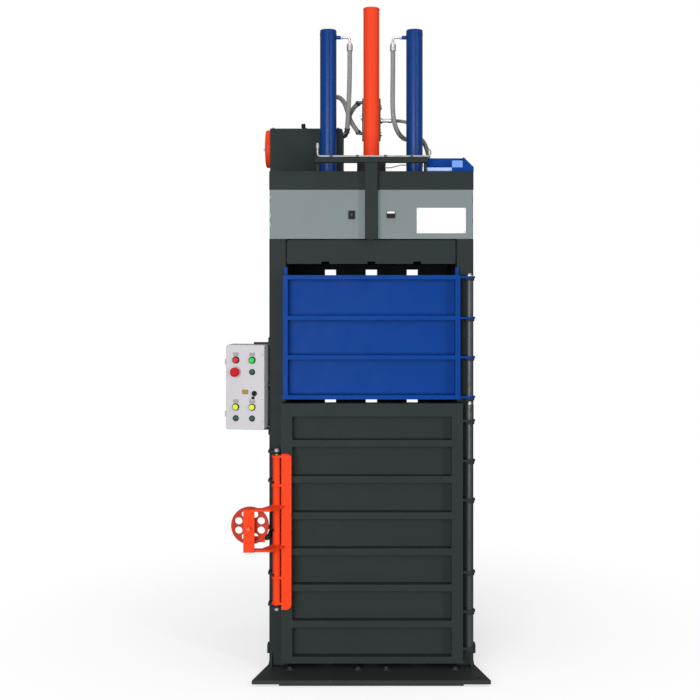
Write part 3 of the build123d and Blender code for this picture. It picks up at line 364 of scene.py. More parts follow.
# Charcoal bodywork
# Columns, walls, header, beam, press head and bale door are welded steel under a satin charcoal powder coat.
# The coat is rubbed thinner and greyer along edges, and its colour and gloss change a little over the sheets.
paint_film, into, out = shader_group(
    "paint_film",
    [
        ("Paint", "Color", (0.5, 0.5, 0.5, 1)),
        ("Edge", "Color", (0.5, 0.5, 0.5, 1)),
        ("Wear", "Float", 0.5),
        ("Mottle", "Float", 0.08),
        ("Sheen", "Float", 0.45),
        ("Peel", "Float", 0.15),
    ],
    [("Color", "Color"), ("Roughness", "Float"), ("Normal", "Vector")],
)
place = add(paint_film, "TexCoord")
rounded = add(paint_film, "Bevel", {"Radius": 0.003}, samples=4)
flat = add(paint_film, "NewGeometry")
facing = add(paint_film, "VectorMath", operation="DOT_PRODUCT")
link(paint_film, (rounded.outputs[0], facing.inputs[0]), (flat.outputs["Normal"], facing.inputs[1]))
edge = add(paint_film, "MapRange", {"From Min": 0.995, "From Max": 0.86, "To Min": 0.0, "To Max": 1.0})
link(paint_film, (facing.outputs["Value"], edge.inputs["Value"]))
rubbed = add(paint_film, "TexNoise", {"Scale": 22.0, "Detail": 5.0, "Roughness": 0.65})
link(paint_film, (place.outputs["Object"], rubbed.inputs["Vector"]))
patchy = add(paint_film, "MapRange", {"From Min": 0.38, "From Max": 0.62, "To Min": 0.15, "To Max": 1.0})
link(paint_film, (rubbed.outputs["Fac"], patchy.inputs["Value"]))
worn = add(paint_film, "Math", operation="MULTIPLY")
link(paint_film, (edge.outputs[0], worn.inputs[0]), (patchy.outputs[0], worn.inputs[1]))
worn_by = add(paint_film, "Math", operation="MULTIPLY", use_clamp=True)
link(paint_film, (worn.outputs[0], worn_by.inputs[0]), (into.outputs["Wear"], worn_by.inputs[1]))
cloud = add(paint_film, "TexNoise", {"Scale": 2.6, "Detail": 6.0, "Roughness": 0.6})
link(paint_film, (place.outputs["Object"], cloud.inputs["Vector"]))
lean = add(paint_film, "Math", {1: 0.5}, operation="SUBTRACT")
link(paint_film, (cloud.outputs["Fac"], lean.inputs[0]))
shade = add(paint_film, "Math", operation="MULTIPLY")
link(paint_film, (lean.outputs[0], shade.inputs[0]), (into.outputs["Mottle"], shade.inputs[1]))
level = add(paint_film, "Math", {1: 1.0}, operation="ADD")
link(paint_film, (shade.outputs[0], level.inputs[0]))
toned = add(paint_film, "VectorMath", operation="SCALE")
link(paint_film, (into.outputs["Paint"], toned.inputs[0]), (level.outputs[0], toned.inputs["Scale"]))
mixed = add(paint_film, "Mix", data_type="RGBA")
link(
    paint_film,
    (worn_by.outputs[0], mixed.inputs["Factor"]),
    (toned.outputs[0], mixed.inputs["A"]),
    (into.outputs["Edge"], mixed.inputs["B"]),
    (mixed.outputs["Result"], out.inputs["Color"]),
)
scuffed = add(paint_film, "TexNoise", {"Scale": 11.0, "Detail": 7.0, "Roughness": 0.7})
link(paint_film, (place.outputs["Object"], scuffed.inputs["Vector"]))
spread = add(paint_film, "MapRange", {"From Min": 0.3, "From Max": 0.7, "To Min": -0.07, "To Max": 0.09})
link(paint_film, (scuffed.outputs["Fac"], spread.inputs["Value"]))
gloss = add(paint_film, "Math", operation="ADD")
link(paint_film, (into.outputs["Sheen"], gloss.inputs[0]), (spread.outputs[0], gloss.inputs[1]))
edge_gloss = add(paint_film, "Math", {1: 0.12, 2: 0.0}, operation="MULTIPLY_ADD")
link(paint_film, (worn_by.outputs[0], edge_gloss.inputs[0]), (gloss.outputs[0], edge_gloss.inputs[2]))
link(paint_film, (edge_gloss.outputs[0], out.inputs["Roughness"]))
orange_peel = add(paint_film, "TexNoise", {"Scale": 420.0, "Detail": 2.0})
link(paint_film, (place.outputs["Object"], orange_peel.inputs["Vector"]))
peel = add(paint_film, "Bump", {"Distance": 0.0004})
link(
    paint_film,
    (orange_peel.outputs["Fac"], peel.inputs["Height"]),
    (into.outputs["Peel"], peel.inputs["Strength"]),
    (rounded.outputs[0], peel.inputs["Normal"]),
    (peel.outputs[0], out.inputs["Normal"]),
)


def surface(name, film, values, uniform):
    """A material with its colour, roughness and normal from a group, and uniform values on its shader."""
    material = bpy.data.materials.new(name)
    material.use_nodes = True
    tree = material.node_tree
    shader = tree.nodes["Principled BSDF"]
    group = add(tree, "Group", node_tree=film)
    for key, value in values.items():
        group.inputs[key].default_value = value
    for key, socket in (("Color", "Base Color"), ("Roughness", "Roughness"), ("Normal", "Normal")):
        tree.links.new(group.outputs[key], shader.inputs[socket])
    for key, value in uniform.items():
        shader.inputs[key].default_value = value
    return material


def paint(name, colour, edge, wear, mottle, sheen, peel, specular):
    """A painted steel finish: its colour, the colour of its rubbed edges and how it shines."""
    values = {
        "Paint": (*colour, 1),
        "Edge": (*edge, 1),
        "Wear": wear,
        "Mottle": mottle,
        "Sheen": sheen,
        "Peel": peel,
    }
    return surface(name, paint_film, values, {"Specular IOR Level": specular})


def finish(material, *names):
    """Gives CAD nodes their finish."""
    for name in names:
        for held in nodes[name].material_slots:
            held.material = material


charcoal = paint("charcoal_coat", (0.024, 0.031, 0.031), (0.070, 0.080, 0.080), 0.5, 0.2, 0.5, 0.25, 0.05)
finish(
    charcoal,
    "column_left",
    "column_right",
    "side_wall_left",
    "side_wall_right",
    "rear_wall",
    "header_frame",
    "cylinder_beam",
    "t_post",
    "bale_door",
    "platen",
    "power_unit_housing",
    "power_unit_lid",
)
chamber = paint("rubbed_chamber_coat", (0.022, 0.026, 0.026), (0.16, 0.16, 0.15), 1.0, 0.35, 0.42, 0.3, 0.4)
finish(chamber, "chamber_floor")


# Bright fixings
# Bolts, nuts, pins and screws are zinc plated steel. The plating has a fine brushed grain and darker, faintly
# yellow stains in places.
metal_grain, into, out = shader_group(
    "metal_grain",
    [
        ("Metal", "Color", (0.5, 0.5, 0.5, 1)),
        ("Stain", "Color", (0.3, 0.3, 0.3, 1)),
        ("Grain", "Float", 600.0),
        ("Gloss", "Float", 0.3),
    ],
    [("Color", "Color"), ("Roughness", "Float"), ("Normal", "Vector")],
)
place = add(metal_grain, "TexCoord")
rounded = add(metal_grain, "Bevel", {"Radius": 0.0015}, samples=4)
lines = add(metal_grain, "Mapping")
lines.inputs["Scale"].default_value = (1.0, 1.0, 0.06)
link(metal_grain, (place.outputs["Object"], lines.inputs["Vector"]))
brushed = add(metal_grain, "TexNoise", {"Detail": 4.0})
link(
    metal_grain,
    (lines.outputs[0], brushed.inputs["Vector"]),
    (into.outputs["Grain"], brushed.inputs["Scale"]),
)
cloud = add(metal_grain, "TexNoise", {"Scale": 30.0, "Detail": 5.0})
link(metal_grain, (place.outputs["Object"], cloud.inputs["Vector"]))
stain = add(metal_grain, "MapRange", {"From Min": 0.45, "From Max": 0.75, "To Min": 0.0, "To Max": 0.8})
link(metal_grain, (cloud.outputs["Fac"], stain.inputs["Value"]))
mixed = add(metal_grain, "Mix", data_type="RGBA")
link(
    metal_grain,
    (stain.outputs[0], mixed.inputs["Factor"]),
    (into.outputs["Metal"], mixed.inputs["A"]),
    (into.outputs["Stain"], mixed.inputs["B"]),
    (mixed.outputs["Result"], out.inputs["Color"]),
)
spread = add(metal_grain, "MapRange", {"From Min": 0.3, "From Max": 0.7, "To Min": -0.08, "To Max": 0.12})
gloss = add(metal_grain, "Math", operation="ADD")
link(
    metal_grain,
    (brushed.outputs["Fac"], spread.inputs["Value"]),
    (into.outputs["Gloss"], gloss.inputs[0]),
    (spread.outputs[0], gloss.inputs[1]),
    (gloss.outputs[0], out.inputs["Roughness"]),
)
scratch = add(metal_grain, "Bump", {"Strength": 0.25, "Distance": 0.0003})
link(
    metal_grain,
    (brushed.outputs["Fac"], scratch.inputs["Height"]),
    (rounded.outputs[0], scratch.inputs["Normal"]),
    (scratch.outputs[0], out.inputs["Normal"]),
)


def metal(name, colour, stain, grain, gloss):
    """A bare metal finish with its grain."""
    values = {"Metal": (*colour, 1), "Stain": (*stain, 1), "Grain": grain, "Gloss": gloss}
    return surface(name, metal_grain, values, {"Metallic": 1.0})


zinc = metal("zinc_plate", (0.62, 0.63, 0.63), (0.46, 0.46, 0.43), 500, 0.34)
dull_zinc = metal("dull_zinc", (0.42, 0.425, 0.425), (0.30, 0.30, 0.29), 400, 0.5)
pale_zinc = metal("pale_zinc", (0.72, 0.73, 0.73), (0.60, 0.60, 0.58), 500, 0.5)
black_zinc = metal("black_zinc", (0.10, 0.10, 0.105), (0.06, 0.06, 0.06), 500, 0.4)
finish(zinc, "door_hinge_bolts", "panel_hinges", "rod_pins")


# Rubber and plastic parts
# Wear pads, latches, collars and wiper rings are moulded in black plastic or rubber. Their skin is even, with
# a fine grain from the mould.
plastic_skin, into, out = shader_group(
    "plastic_skin",
    [("Tint", "Color", (0.5, 0.5, 0.5, 1)), ("Gloss", "Float", 0.3), ("Depth", "Float", 0.1)],
    [("Color", "Color"), ("Roughness", "Float"), ("Normal", "Vector")],
)
place = add(plastic_skin, "TexCoord")
rounded = add(plastic_skin, "Bevel", {"Radius": 0.0008}, samples=4)
cloud = add(plastic_skin, "TexNoise", {"Scale": 90.0, "Detail": 3.0})
link(plastic_skin, (place.outputs["Object"], cloud.inputs["Vector"]))
level = add(plastic_skin, "MapRange", {"From Min": 0.3, "From Max": 0.7, "To Min": 0.94, "To Max": 1.05})
toned = add(plastic_skin, "VectorMath", operation="SCALE")
spread = add(plastic_skin, "MapRange", {"From Min": 0.3, "From Max": 0.7, "To Min": -0.04, "To Max": 0.06})
gloss = add(plastic_skin, "Math", operation="ADD")
grain = add(plastic_skin, "TexNoise", {"Scale": 1500.0, "Detail": 2.0})
moulded = add(plastic_skin, "Bump", {"Distance": 0.0002})
link(
    plastic_skin,
    (cloud.outputs["Fac"], level.inputs["Value"]),
    (into.outputs["Tint"], toned.inputs[0]),
    (level.outputs[0], toned.inputs["Scale"]),
    (toned.outputs[0], out.inputs["Color"]),
    (cloud.outputs["Fac"], spread.inputs["Value"]),
    (into.outputs["Gloss"], gloss.inputs[0]),
    (spread.outputs[0], gloss.inputs[1]),
    (gloss.outputs[0], out.inputs["Roughness"]),
    (place.outputs["Object"], grain.inputs["Vector"]),
    (grain.outputs["Fac"], moulded.inputs["Height"]),
    (into.outputs["Depth"], moulded.inputs["Strength"]),
    (rounded.outputs[0], moulded.inputs["Normal"]),
    (moulded.outputs[0], out.inputs["Normal"]),
)


def plastic(name, colour, gloss, depth, specular):
    """A moulded plastic finish: its colour, how matt it is, how deep its grain is and how much it mirrors."""
    values = {"Tint": (*colour, 1), "Gloss": gloss, "Depth": depth}
    return surface(name, plastic_skin, values, {"Specular IOR Level": specular})


black_plastic = plastic("black_plastic", (0.010, 0.010, 0.011), 0.45, 0.3, 0.12)
finish(black_plastic, "platen_pads", "latch_left", "latch_right", "key_switch")


# Base plate
# A thick flame-cut plate on three skid bars, painted a flatter black than the body, with its bolts painted
# over. Both columns stand on it with a weld round each foot.
base_coat = paint("base_coat", (0.017, 0.020, 0.020), (0.09, 0.09, 0.09), 0.8, 0.35, 0.6, 0.35, 0.3)
finish(base_coat, "base_plate", "control_box_arms", "guide_hub")


def axes_across(axis):
    """The unit vector along an axis, and two more at right angles to it and to each other."""
    axis = np.array(axis, float)
    axis /= np.linalg.norm(axis)
    helper = np.array((0, 0, 1.0)) if abs(axis[2]) < 0.9 else np.array((1.0, 0, 0))
    first = np.cross(helper, axis)
    first /= np.linalg.norm(first)
    return axis, first, np.cross(axis, first)


def unit_circle(sides, first, second):
    """The unit circle in the plane of two vectors: the cosine times one plus the sine times the other."""
    angles = np.linspace(0, 2 * pi, sides, endpoint=False)[:, None]
    return np.cos(angles) * first + np.sin(angles) * second


def repeated(shape, rows, places, capped=()):
    """One shape at each place: its points, and its faces between its rings and over the capped rings."""
    sides = len(shape) // rows
    faces = []
    for i in range(len(places)):
        first = i * len(shape)
        faces += ring_faces(rows, sides, first)
        faces += [[*range(first + row * sides, first + (row + 1) * sides)] for row in capped]
    return np.concatenate([shape + place for place in places]), faces


def hexagon_heads(name, places, outward, size, height, material, body, washer=True):
    """Hexagon bolt heads: rings whose radius is half the width over the cosine of the angle from the middle
    of the nearest flat, rounded in at the top, over a round washer where they have one."""
    outward, first, second = axes_across(outward)
    sides = 24
    angles = np.linspace(0, 2 * pi, sides, endpoint=False)
    hexagon = size / 2 / np.cos((angles + pi / 6) % (pi / 3) - pi / 6)
    inscribed = np.full(sides, size / 2)
    low = 0.0
    rings = []
    if washer:
        wide = np.full(sides, size * 0.98)
        rings += [(wide, 0.0), (wide, height * 0.16), (wide * 0.97, height * 0.2)]
        low = height * 0.2
    rings += [
        (hexagon * 0.995, low),
        (hexagon, low + height * 0.06),
        (hexagon, height * 0.86),
        (np.minimum(hexagon, inscribed * 1.03), height),
        (inscribed * 0.9, height),
        (inscribed * 0.02, height),
    ]
    circle = unit_circle(sides, first, second)
    head = np.concatenate([outward * rise + radii[:, None] * circle for radii, rise in rings])
    points, faces = repeated(head, len(rings), places)
    skin_piece(name, points, faces, material, body, smooth=False)


hexagon_heads(
    "base_bolts",
    [(x, y, 0.029) for y in (-0.430, 0.43) for x in (-0.403, -0.066, 0.073, 0.414)],
    (0, 0, 1),
    0.019,
    0.012,
    base_coat,
    "press_bodywork",
)


def bead(name, runs, radius, material, body):
    """Fillet welds: round ropes along straight runs, each swelling with the sine of its length and tapering
    over one radius at both ends."""
    skins, faces, total, sides = [], [], 0, 8
    for start, end in runs:
        start, end = np.array(start, float), np.array(end, float)
        length = np.linalg.norm(end - start)
        way = (end - start) / length
        side = np.cross(way, (0.31, 0.52, 0.79))
        side /= np.linalg.norm(side)
        up = np.cross(way, side)
        rows = max(5, int(length / (0.7 * radius)))
        s = np.linspace(0, length, rows)
        taper = np.clip(np.minimum(s, length - s) / radius, 0.02, 1) ** 0.5
        swell = 0.10 * np.sin(2 * pi * s / (1.9 * radius)) + 0.05 * np.sin(41 * s / radius)
        thick = radius * taper * (1 + swell)
        points = start + s[:, None, None] * way + thick[:, None, None] * unit_circle(sides, side, up)
        faces += ring_faces(rows, sides, total)
        skins.append(points.reshape(-1, 3))
        total += rows * sides
    skin_piece(name, np.concatenate(skins), faces, material, body)


column_front, column_back, plate_top = -0.3605, -0.2595, 0.0295  # where the weld's middle runs
foot_runs = []
for side in (-1, 1):
    inner, outer, corner = side * 0.426, side * 0.5115, side * 0.502
    foot_runs += [
        ((inner, column_front, plate_top), (corner, column_front, plate_top)),
        ((outer, -0.351, plate_top), (outer, -0.269, plate_top)),
        ((corner, column_back, plate_top), (inner, column_back, plate_top)),
    ]
bead("column_foot_welds", foot_runs, 0.0035, base_coat, "press_bodywork")


# Side and rear walls
# Pressed channels stand on the wall sheets, four across the back and seven on each side. Short stitch welds
# in the body coat hold their edges.
rear_sheet, side_sheet, half_stitch = 0.3605, 0.4323, 0.02
stitch_runs = []
for z in (0.32, 0.86, 1.54, 2.08):
    for edge in (z - 0.0402, z + 0.0402):
        for x in (-0.36, -0.18, 0.0, 0.18, 0.36):
            stitch_runs.append(((x - half_stitch, rear_sheet, edge), (x + half_stitch, rear_sheet, edge)))
for x in (-side_sheet, side_sheet):
    for z in 0.089 + 0.33433 * np.arange(7):
        for edge in (z - 0.0302, z + 0.0302):
            for y in (-0.22, -0.04, 0.14, 0.32):
                stitch_runs.append(((x, y - half_stitch, edge), (x, y + half_stitch, edge)))
bead("wall_stitches", stitch_runs, 0.003, charcoal, "press_bodywork")


# Rams and guide tube
# The two ram barrels are gloss blue tubes and the guide tube between them is gloss orange. Their end caps are
# welded on, and bolts hold the rams' foot flanges to the beam and the black hub to the header.
ram_blue = paint("ram_blue", (0.001, 0.036, 0.190), (0.03, 0.10, 0.32), 0.3, 0.12, 0.27, 0.06, 0.22)
guide_orange = paint("guide_orange", (0.82, 0.054, 0.016), (0.90, 0.18, 0.10), 0.3, 0.1, 0.40, 0.06, 0.1)
finish(ram_blue, "cylinder_barrel_left", "cylinder_barrel_right")
finish(guide_orange, "guide_tube", "pump_motor")
finish(zinc, "cylinder_glands")
finish(metal("turned_bronze", (0.60, 0.42, 0.20), (0.42, 0.28, 0.13), 700, 0.3), "guide_bush")


def lathed(name, profile, places, axis, material, body, sides=40, smooth=True):
    """Round pieces: a profile of (radius, rise) turned about an axis through each place."""
    axis, first, second = axes_across(axis)
    profile = np.array(profile, float)
    radii, rises = profile[:, 0, None, None], profile[:, 1, None, None]
    shape = (radii * unit_circle(sides, first, second) + rises * axis).reshape(-1, 3)
    points, faces = repeated(shape, len(profile), places)
    piece = skin_piece(name, points, faces, material, body, smooth)
    if smooth:
        sharp = piece.modifiers.new("sharp_edges", "EDGE_SPLIT")
        sharp.split_angle = radians(38)


ram_xs = (-0.2295, 0.2295)
cap_weld = [(0.0438, -0.0035), (0.0452, -0.0022), (0.0455, 0.0), (0.0452, 0.0022), (0.0438, 0.0035)]
cap_places = [(x, 0, 3.253) for x in ram_xs]
lathed("ram_cap_welds", cap_weld, cap_places, (0, 0, 1), ram_blue, "press_bodywork")
guide_weld = [(0.0424, -0.003), (0.0438, -0.002), (0.0440, 0.0), (0.0438, 0.002), (0.0424, 0.003)]
lathed("guide_cap_weld", guide_weld, [(0, 0, 3.386)], (0, 0, 1), guide_orange, "press_bodywork")


def bolt_circle(radius, count, start):
    """Places spaced evenly round a circle, the radius times the cosine and the sine of each angle."""
    angles = start + 2 * pi / count * np.arange(count)
    return radius * np.stack([np.cos(angles), np.sin(angles)], axis=1)


hexagon_heads(
    "ram_foot_bolts",
    [(x + dx, dy, 2.295) for x in ram_xs for dx, dy in bolt_circle(0.055, 4, pi / 4)],
    (0, 0, 1),
    0.015,
    0.009,
    zinc,
    "press_bodywork",
)
hexagon_heads(
    "hub_bolts",
    [(x, y, 2.5625) for x, y in bolt_circle(0.0735, 8, 0.2)],
    (0, 0, 1),
    0.009,
    0.012,
    black_zinc,
    "press_bodywork",
    washer=False,
)
wiper = [
    (0.0226, -0.006),
    (0.0262, -0.006),
    (0.0275, -0.0045),
    (0.0275, 0.0),
    (0.0226, 0.0),
    (0.0226, -0.006),
]
rubber = plastic("wiper_rubber", (0.010, 0.010, 0.010), 0.55, 0.3, 0.5)
lathed("rod_wipers", wiper, [(x, 0, 2.240) for x in ram_xs], (0, 0, 1), rubber, "press_bodywork")


# Press head
# The welded head hangs from two chromed rods and the chromed guide mast. Plated rings keep the rods' pins in
# their lugs.
chromed = metal("chromed_rod", (0.72, 0.73, 0.74), (0.66, 0.67, 0.68), 900, 0.12)
finish(chromed, "piston_rods", "guide_mast")
pin_ring = [
    (0.0126, 0.0),
    (0.0185, 0.0),
    (0.019, 0.0006),
    (0.019, 0.0019),
    (0.0185, 0.0025),
    (0.0126, 0.0025),
]
ring_places = [(x + dx, 0, 2.200) for x in ram_xs for dx in (-0.0379, 0.0354)]
lathed("pin_rings", pin_ring, ring_places, (1, 0, 0), zinc, "press_head")


# Header
# A folded and welded hood with the T-post and its crossbar in front. Stitch welds hold the post, and dark
# saddle clips hold the thin dull steel pipe on the crossbar.
bead(
    "post_welds",
    [
        ((-0.028, -0.4003, 2.533), (0.028, -0.4003, 2.533)),
        ((-0.0303, -0.397, 2.533), (-0.0303, -0.363, 2.533)),
        ((0.0303, -0.397, 2.533), (0.0303, -0.363, 2.533)),
        ((-0.0303, -0.3605, 2.414), (-0.0303, -0.3605, 2.482)),
        ((0.0303, -0.3605, 2.414), (0.0303, -0.3605, 2.482)),
    ],
    0.002,
    charcoal,
    "press_bodywork",
)


def saddle_clips(name, places, material, body):
    """Saddle clips: a flat strip whose line runs level, over the pipe on a half circle, and level again.
    Its thickness lies along the line's normals."""
    bend = np.radians(np.linspace(195, -15, 15))
    over = np.stack([0.0060 * np.cos(bend), 0.0052 + 0.0060 * np.sin(bend)], axis=1)
    tabs = np.array([[(-0.0175, 0.0004), (-0.0085, 0.0004)], [(0.0085, 0.0004), (0.0175, 0.0004)]])
    line = np.concatenate([tabs[0], over, tabs[1]])
    ways = np.gradient(line, axis=0)
    normals = np.stack([-ways[:, 1], ways[:, 0]], axis=1) / np.linalg.norm(ways, axis=1)[:, None]
    section = [(-0.007, 0.0), (0.007, 0.0), (0.007, 0.0015), (-0.007, 0.0015)]
    edges = [(x, line + normals * lift) for x, lift in section]
    strip = np.stack([np.insert(edge, 0, x, axis=1) for x, edge in edges], axis=1).reshape(-1, 3)
    points, faces = repeated(strip, len(line), places, capped=(0, len(line) - 1))
    skin_piece(name, points, faces, material, body, smooth=False)


clip_xs, pipe_y = (-0.20, -0.07, 0.07, 0.20), -0.380
saddle_clips("pipe_clips", [(x, pipe_y, 2.561) for x in clip_xs], black_zinc, "press_bodywork")
hexagon_heads(
    "clip_screws",
    [(x, pipe_y + dy, 2.5628) for x in clip_xs for dy in (-0.013, 0.013)],
    (0, 0, 1),
    0.006,
    0.003,
    black_zinc,
    "press_bodywork",
    washer=False,
)
finish(dull_zinc, "steel_pipes", "pipe_fittings")


# Header panels
# Two folded steel doors in mid grey on plated hinges, each with a black quarter-turn latch. A plain white
# plate is riveted to the right one.
panel_grey = paint("panel_grey", (0.180, 0.215, 0.226), (0.30, 0.33, 0.33), 0.4, 0.08, 0.45, 0.12, 0.12)
finish(panel_grey, "header_panel_left", "header_panel_right")


def plates(name, places, across, upward, size, thick, corner, material, body):
    """Flat plates with round corners and a bevelled edge: the outline's corner arcs, drawn in towards the
    middle over the bevel and closed by one face."""
    across, upward = (np.array(v, float) / np.linalg.norm(v) for v in (across, upward))
    outward = np.cross(across, upward)
    arcs = [np.radians(np.linspace(q, q + 90, 7)) for q in (0, 90, 180, 270)]
    signs = ((1, 1), (-1, 1), (-1, -1), (1, -1))
    rows = []
    bevel = min(0.0008, thick * 0.6)
    shoulder = bevel * 0.35
    for inset, rise in ((0, 0), (0, thick - bevel), (shoulder, thick - shoulder), (bevel, thick)):
        ring = []
        turn = corner - min(inset, corner * 0.9)
        for arc, (sx, sy) in zip(arcs, signs):
            x, y = sx * (size[0] / 2 - corner), sy * (size[1] / 2 - corner)
            ring.append(np.stack([x + turn * np.cos(arc), y + turn * np.sin(arc)], axis=1))
        ring = np.concatenate(ring)
        rows.append(ring[:, :1] * across + ring[:, 1:] * upward + rise * outward)
    points, faces = repeated(np.concatenate(rows), len(rows), places, capped=(len(rows) - 1,))
    skin_piece(name, points, faces, material, body, smooth=False)


white_plate = paint("white_plate", (0.86, 0.86, 0.85), (0.7, 0.7, 0.7), 0.3, 0.03, 0.35, 0.03, 0.3)
plate_x, plate_z = 0.3495, 2.2465
plates(
    "panel_plate",
    [(plate_x, -0.3621, plate_z)],
    (1, 0, 0),
    (0, 0, 1),
    (0.245, 0.127),
    0.0015,
    0.004,
    white_plate,
    "right_panel",
)
rivet = [(0.0042, 0.0), (0.0042, 0.0006), (0.0036, 0.0016), (0.0022, 0.0024), (0.0, 0.0026)]
lathed(
    "panel_plate_rivets",
    rivet,
    [(plate_x + dx, -0.3636, plate_z + dz) for dx in (-0.115, 0.115) for dz in (-0.056, 0.056)],
    (0, -1, 0),
    zinc,
    "right_panel",
    sides=20,
)
latch_core = [
    (0.0046, 0.0),
    (0.0046, 0.0010),
    (0.0040, 0.0014),
    (0.0020, 0.0014),
    (0.0016, 0.0006),
    (0.0, 0.0006),
]
lathed("left_latch_core", latch_core, [(-0.098, -0.3750, 2.275)], (0, -1, 0), black_zinc, "left_latch", 24)
plates(
    "right_latch_grip",
    [(0.098, -0.3681, 2.2866)],
    (1, 0, 0),
    (0, 0, 1),
    (0.038, 0.0092),
    0.0010,
    0.002,
    white_plate,
    "right_latch",
)


# Feed door
# The upper door is a ribbed steel sheet in deep blue gloss paint. Stitch welds hold it along the ribs' edges
# from the front.
door_blue = paint("door_blue", (0.0005, 0.042, 0.240), (0.012, 0.10, 0.34), 0.5, 0.14, 0.42, 0.12, 0.05)
finish(door_blue, "feed_door", "valve_tray")
door_stitches, rib_y, half_stitch = [], -0.3673, 0.018
for edge in (1.9528, 1.7727, 1.7513, 1.5777, 1.5563, 1.3802):
    for x in np.linspace(-0.36, 0.34, 6):
        door_stitches.append(((x - half_stitch, rib_y, edge), (x + half_stitch, rib_y, edge)))
bead("feed_door_stitches", door_stitches, 0.0022, door_blue, "feed_door")


# Doors' hinges
# Both doors turn at the right on tubes in satin black, closed by plated domed bolts. Their ears, and the ears
# of the lock at the left, are welded to the columns.
hinge_coat = paint("hinge_coat", (0.035, 0.042, 0.042), (0.11, 0.12, 0.12), 0.6, 0.15, 0.3, 0.12, 0.4)
finish(hinge_coat, "door_hinge_tubes")
ear_runs = []
for z in (1.9635, 1.762, 1.567, 1.3695, 1.252, 1.0545, 0.8607, 0.503, 0.309, 0.124):
    ear_runs.append(((0.466, column_front, z - 0.0176), (0.509, column_front, z - 0.0176)))
for z in (0.342, 0.497, 0.720, 0.955, 1.099):
    for edge in (-0.0062, 0.0062):
        ear_runs.append(((-0.509, column_front, z + edge), (-0.457, column_front, z + edge)))
for edge in (0.6748, 0.6972):
    ear_runs.append(((-0.509, column_front, edge), (-0.489, column_front, edge)))
bead("ear_welds", ear_runs, 0.0025, charcoal, "press_bodywork")


# Lock
# A slotted sleeve and a folded bar in red-orange paint turn on a plated pin. The end of the screw in the
# bracket is painted too, and the cast handwheel drives the presser behind it.
lock_red = (0.80, 0.052, 0.012)
lock_orange = paint("lock_orange", lock_red, (0.84, 0.16, 0.09), 0.5, 0.1, 0.42, 0.12, 0.04)
wheel_red = paint("wheel_red", (0.48, 0.034, 0.014), (0.55, 0.10, 0.06), 0.6, 0.2, 0.42, 0.3, 0.1)
finish(lock_orange, "lock_bar", "lock_presser")
finish(wheel_red, "handwheel")
finish(dull_zinc, "lock_pivot_pin")
ring_weld = [(0.0188, 0.0), (0.0225, 0.0003), (0.0222, 0.0016), (0.0205, 0.0030), (0.0188, 0.0037)]
pin_x, pin_y = -0.467, -0.439
above = [(pin_x, pin_y, z) for z in (0.364, 0.647, 0.843)]
lathed("lock_welds_above", ring_weld, above, (0, 0, 1), lock_orange, "lock")
below = [(pin_x, pin_y, z) for z in (0.481, 0.637, 0.833, 0.935, 1.077)]
lathed("lock_welds_below", ring_weld, below, (0, 0, -1), lock_orange, "lock")
lock_runs, sleeve_x, bracket_y = [], -0.4422, -0.5568
for z in (0.359, 0.486, 0.642, 0.838, 0.940, 1.082):
    for edge in (-0.0052, 0.0052):
        lock_runs.append(((sleeve_x, -0.457, z + edge), (sleeve_x, -0.428, z + edge)))
for z in (0.6472, 0.8328):
    lock_runs.append(((-0.615, bracket_y, z), (-0.565, bracket_y, z)))
bead("lock_plate_welds", lock_runs, 0.0024, lock_orange, "lock")
# The screw is plated, and its end in front of the bracket is painted over
screw_metal = metal("lock_screw", (0.62, 0.63, 0.63), (0.46, 0.46, 0.43), 500, 0.34)
tree = screw_metal.node_tree
shader = tree.nodes["Principled BSDF"]
place = add(tree, "TexCoord")
split = add(tree, "SeparateXYZ")
painted = add(tree, "Math", {1: -0.5645}, operation="LESS_THAN")
film = shader.inputs["Base Color"].links[0].from_socket
coloured = add(tree, "Mix", {"B": (*lock_red, 1)}, data_type="RGBA")
bare = add(tree, "Math", {0: 1.0}, operation="SUBTRACT")
link(
    tree,
    (place.outputs["Object"], split.inputs[0]),
    (split.outputs["Y"], painted.inputs[0]),
    (painted.outputs[0], coloured.inputs["Factor"]),
    (film, coloured.inputs["A"]),
    (coloured.outputs["Result"], shader.inputs["Base Color"]),
    (painted.outputs[0], bare.inputs[1]),
    (bare.outputs[0], shader.inputs["Metallic"]),
)
finish(screw_metal, "lock_screw")
hexagon_heads(
    "wheel_nut",
    [(-0.590, -0.5272, 0.7565)],
    (0, -1, 0),
    0.030,
    0.010,
    zinc,
    "lock_wheel",
    washer=False,
)


# Control box
# A pressed steel box in textured light grey on two black arms. Black collars hold the push buttons, the lamps
# and the selector. The plates over them are plain.
box_grey = paint("box_grey", (0.50, 0.49, 0.52), (0.60, 0.59, 0.61), 0.3, 0.06, 0.5, 0.45, 0.3)
finish(box_grey, "control_box_case", "control_box_lid")
box_turn = radians(8)
lid_foot = np.array((-0.626, -0.4065, 1.208))  # the middle of the lid's lower edge
box_right = np.array((cos(box_turn), -sin(box_turn), 0))
box_out = np.array((-sin(box_turn), -cos(box_turn), 0))
box_up = np.array((0, 0, 1.0))


def on_lid(u, w, out=0.0):
    """A point over the lid: u to the right of its middle, w above its lower edge, out from its face."""
    return lid_foot + u * box_right + w * box_up + out * box_out


def collars(name, profile, spots, sides=40):
    """Black turned rings or caps that stand on the lid at their spots."""
    lathed(name, profile, [on_lid(u, w) for u, w in spots], box_out, black_plastic, "box_lid", sides)


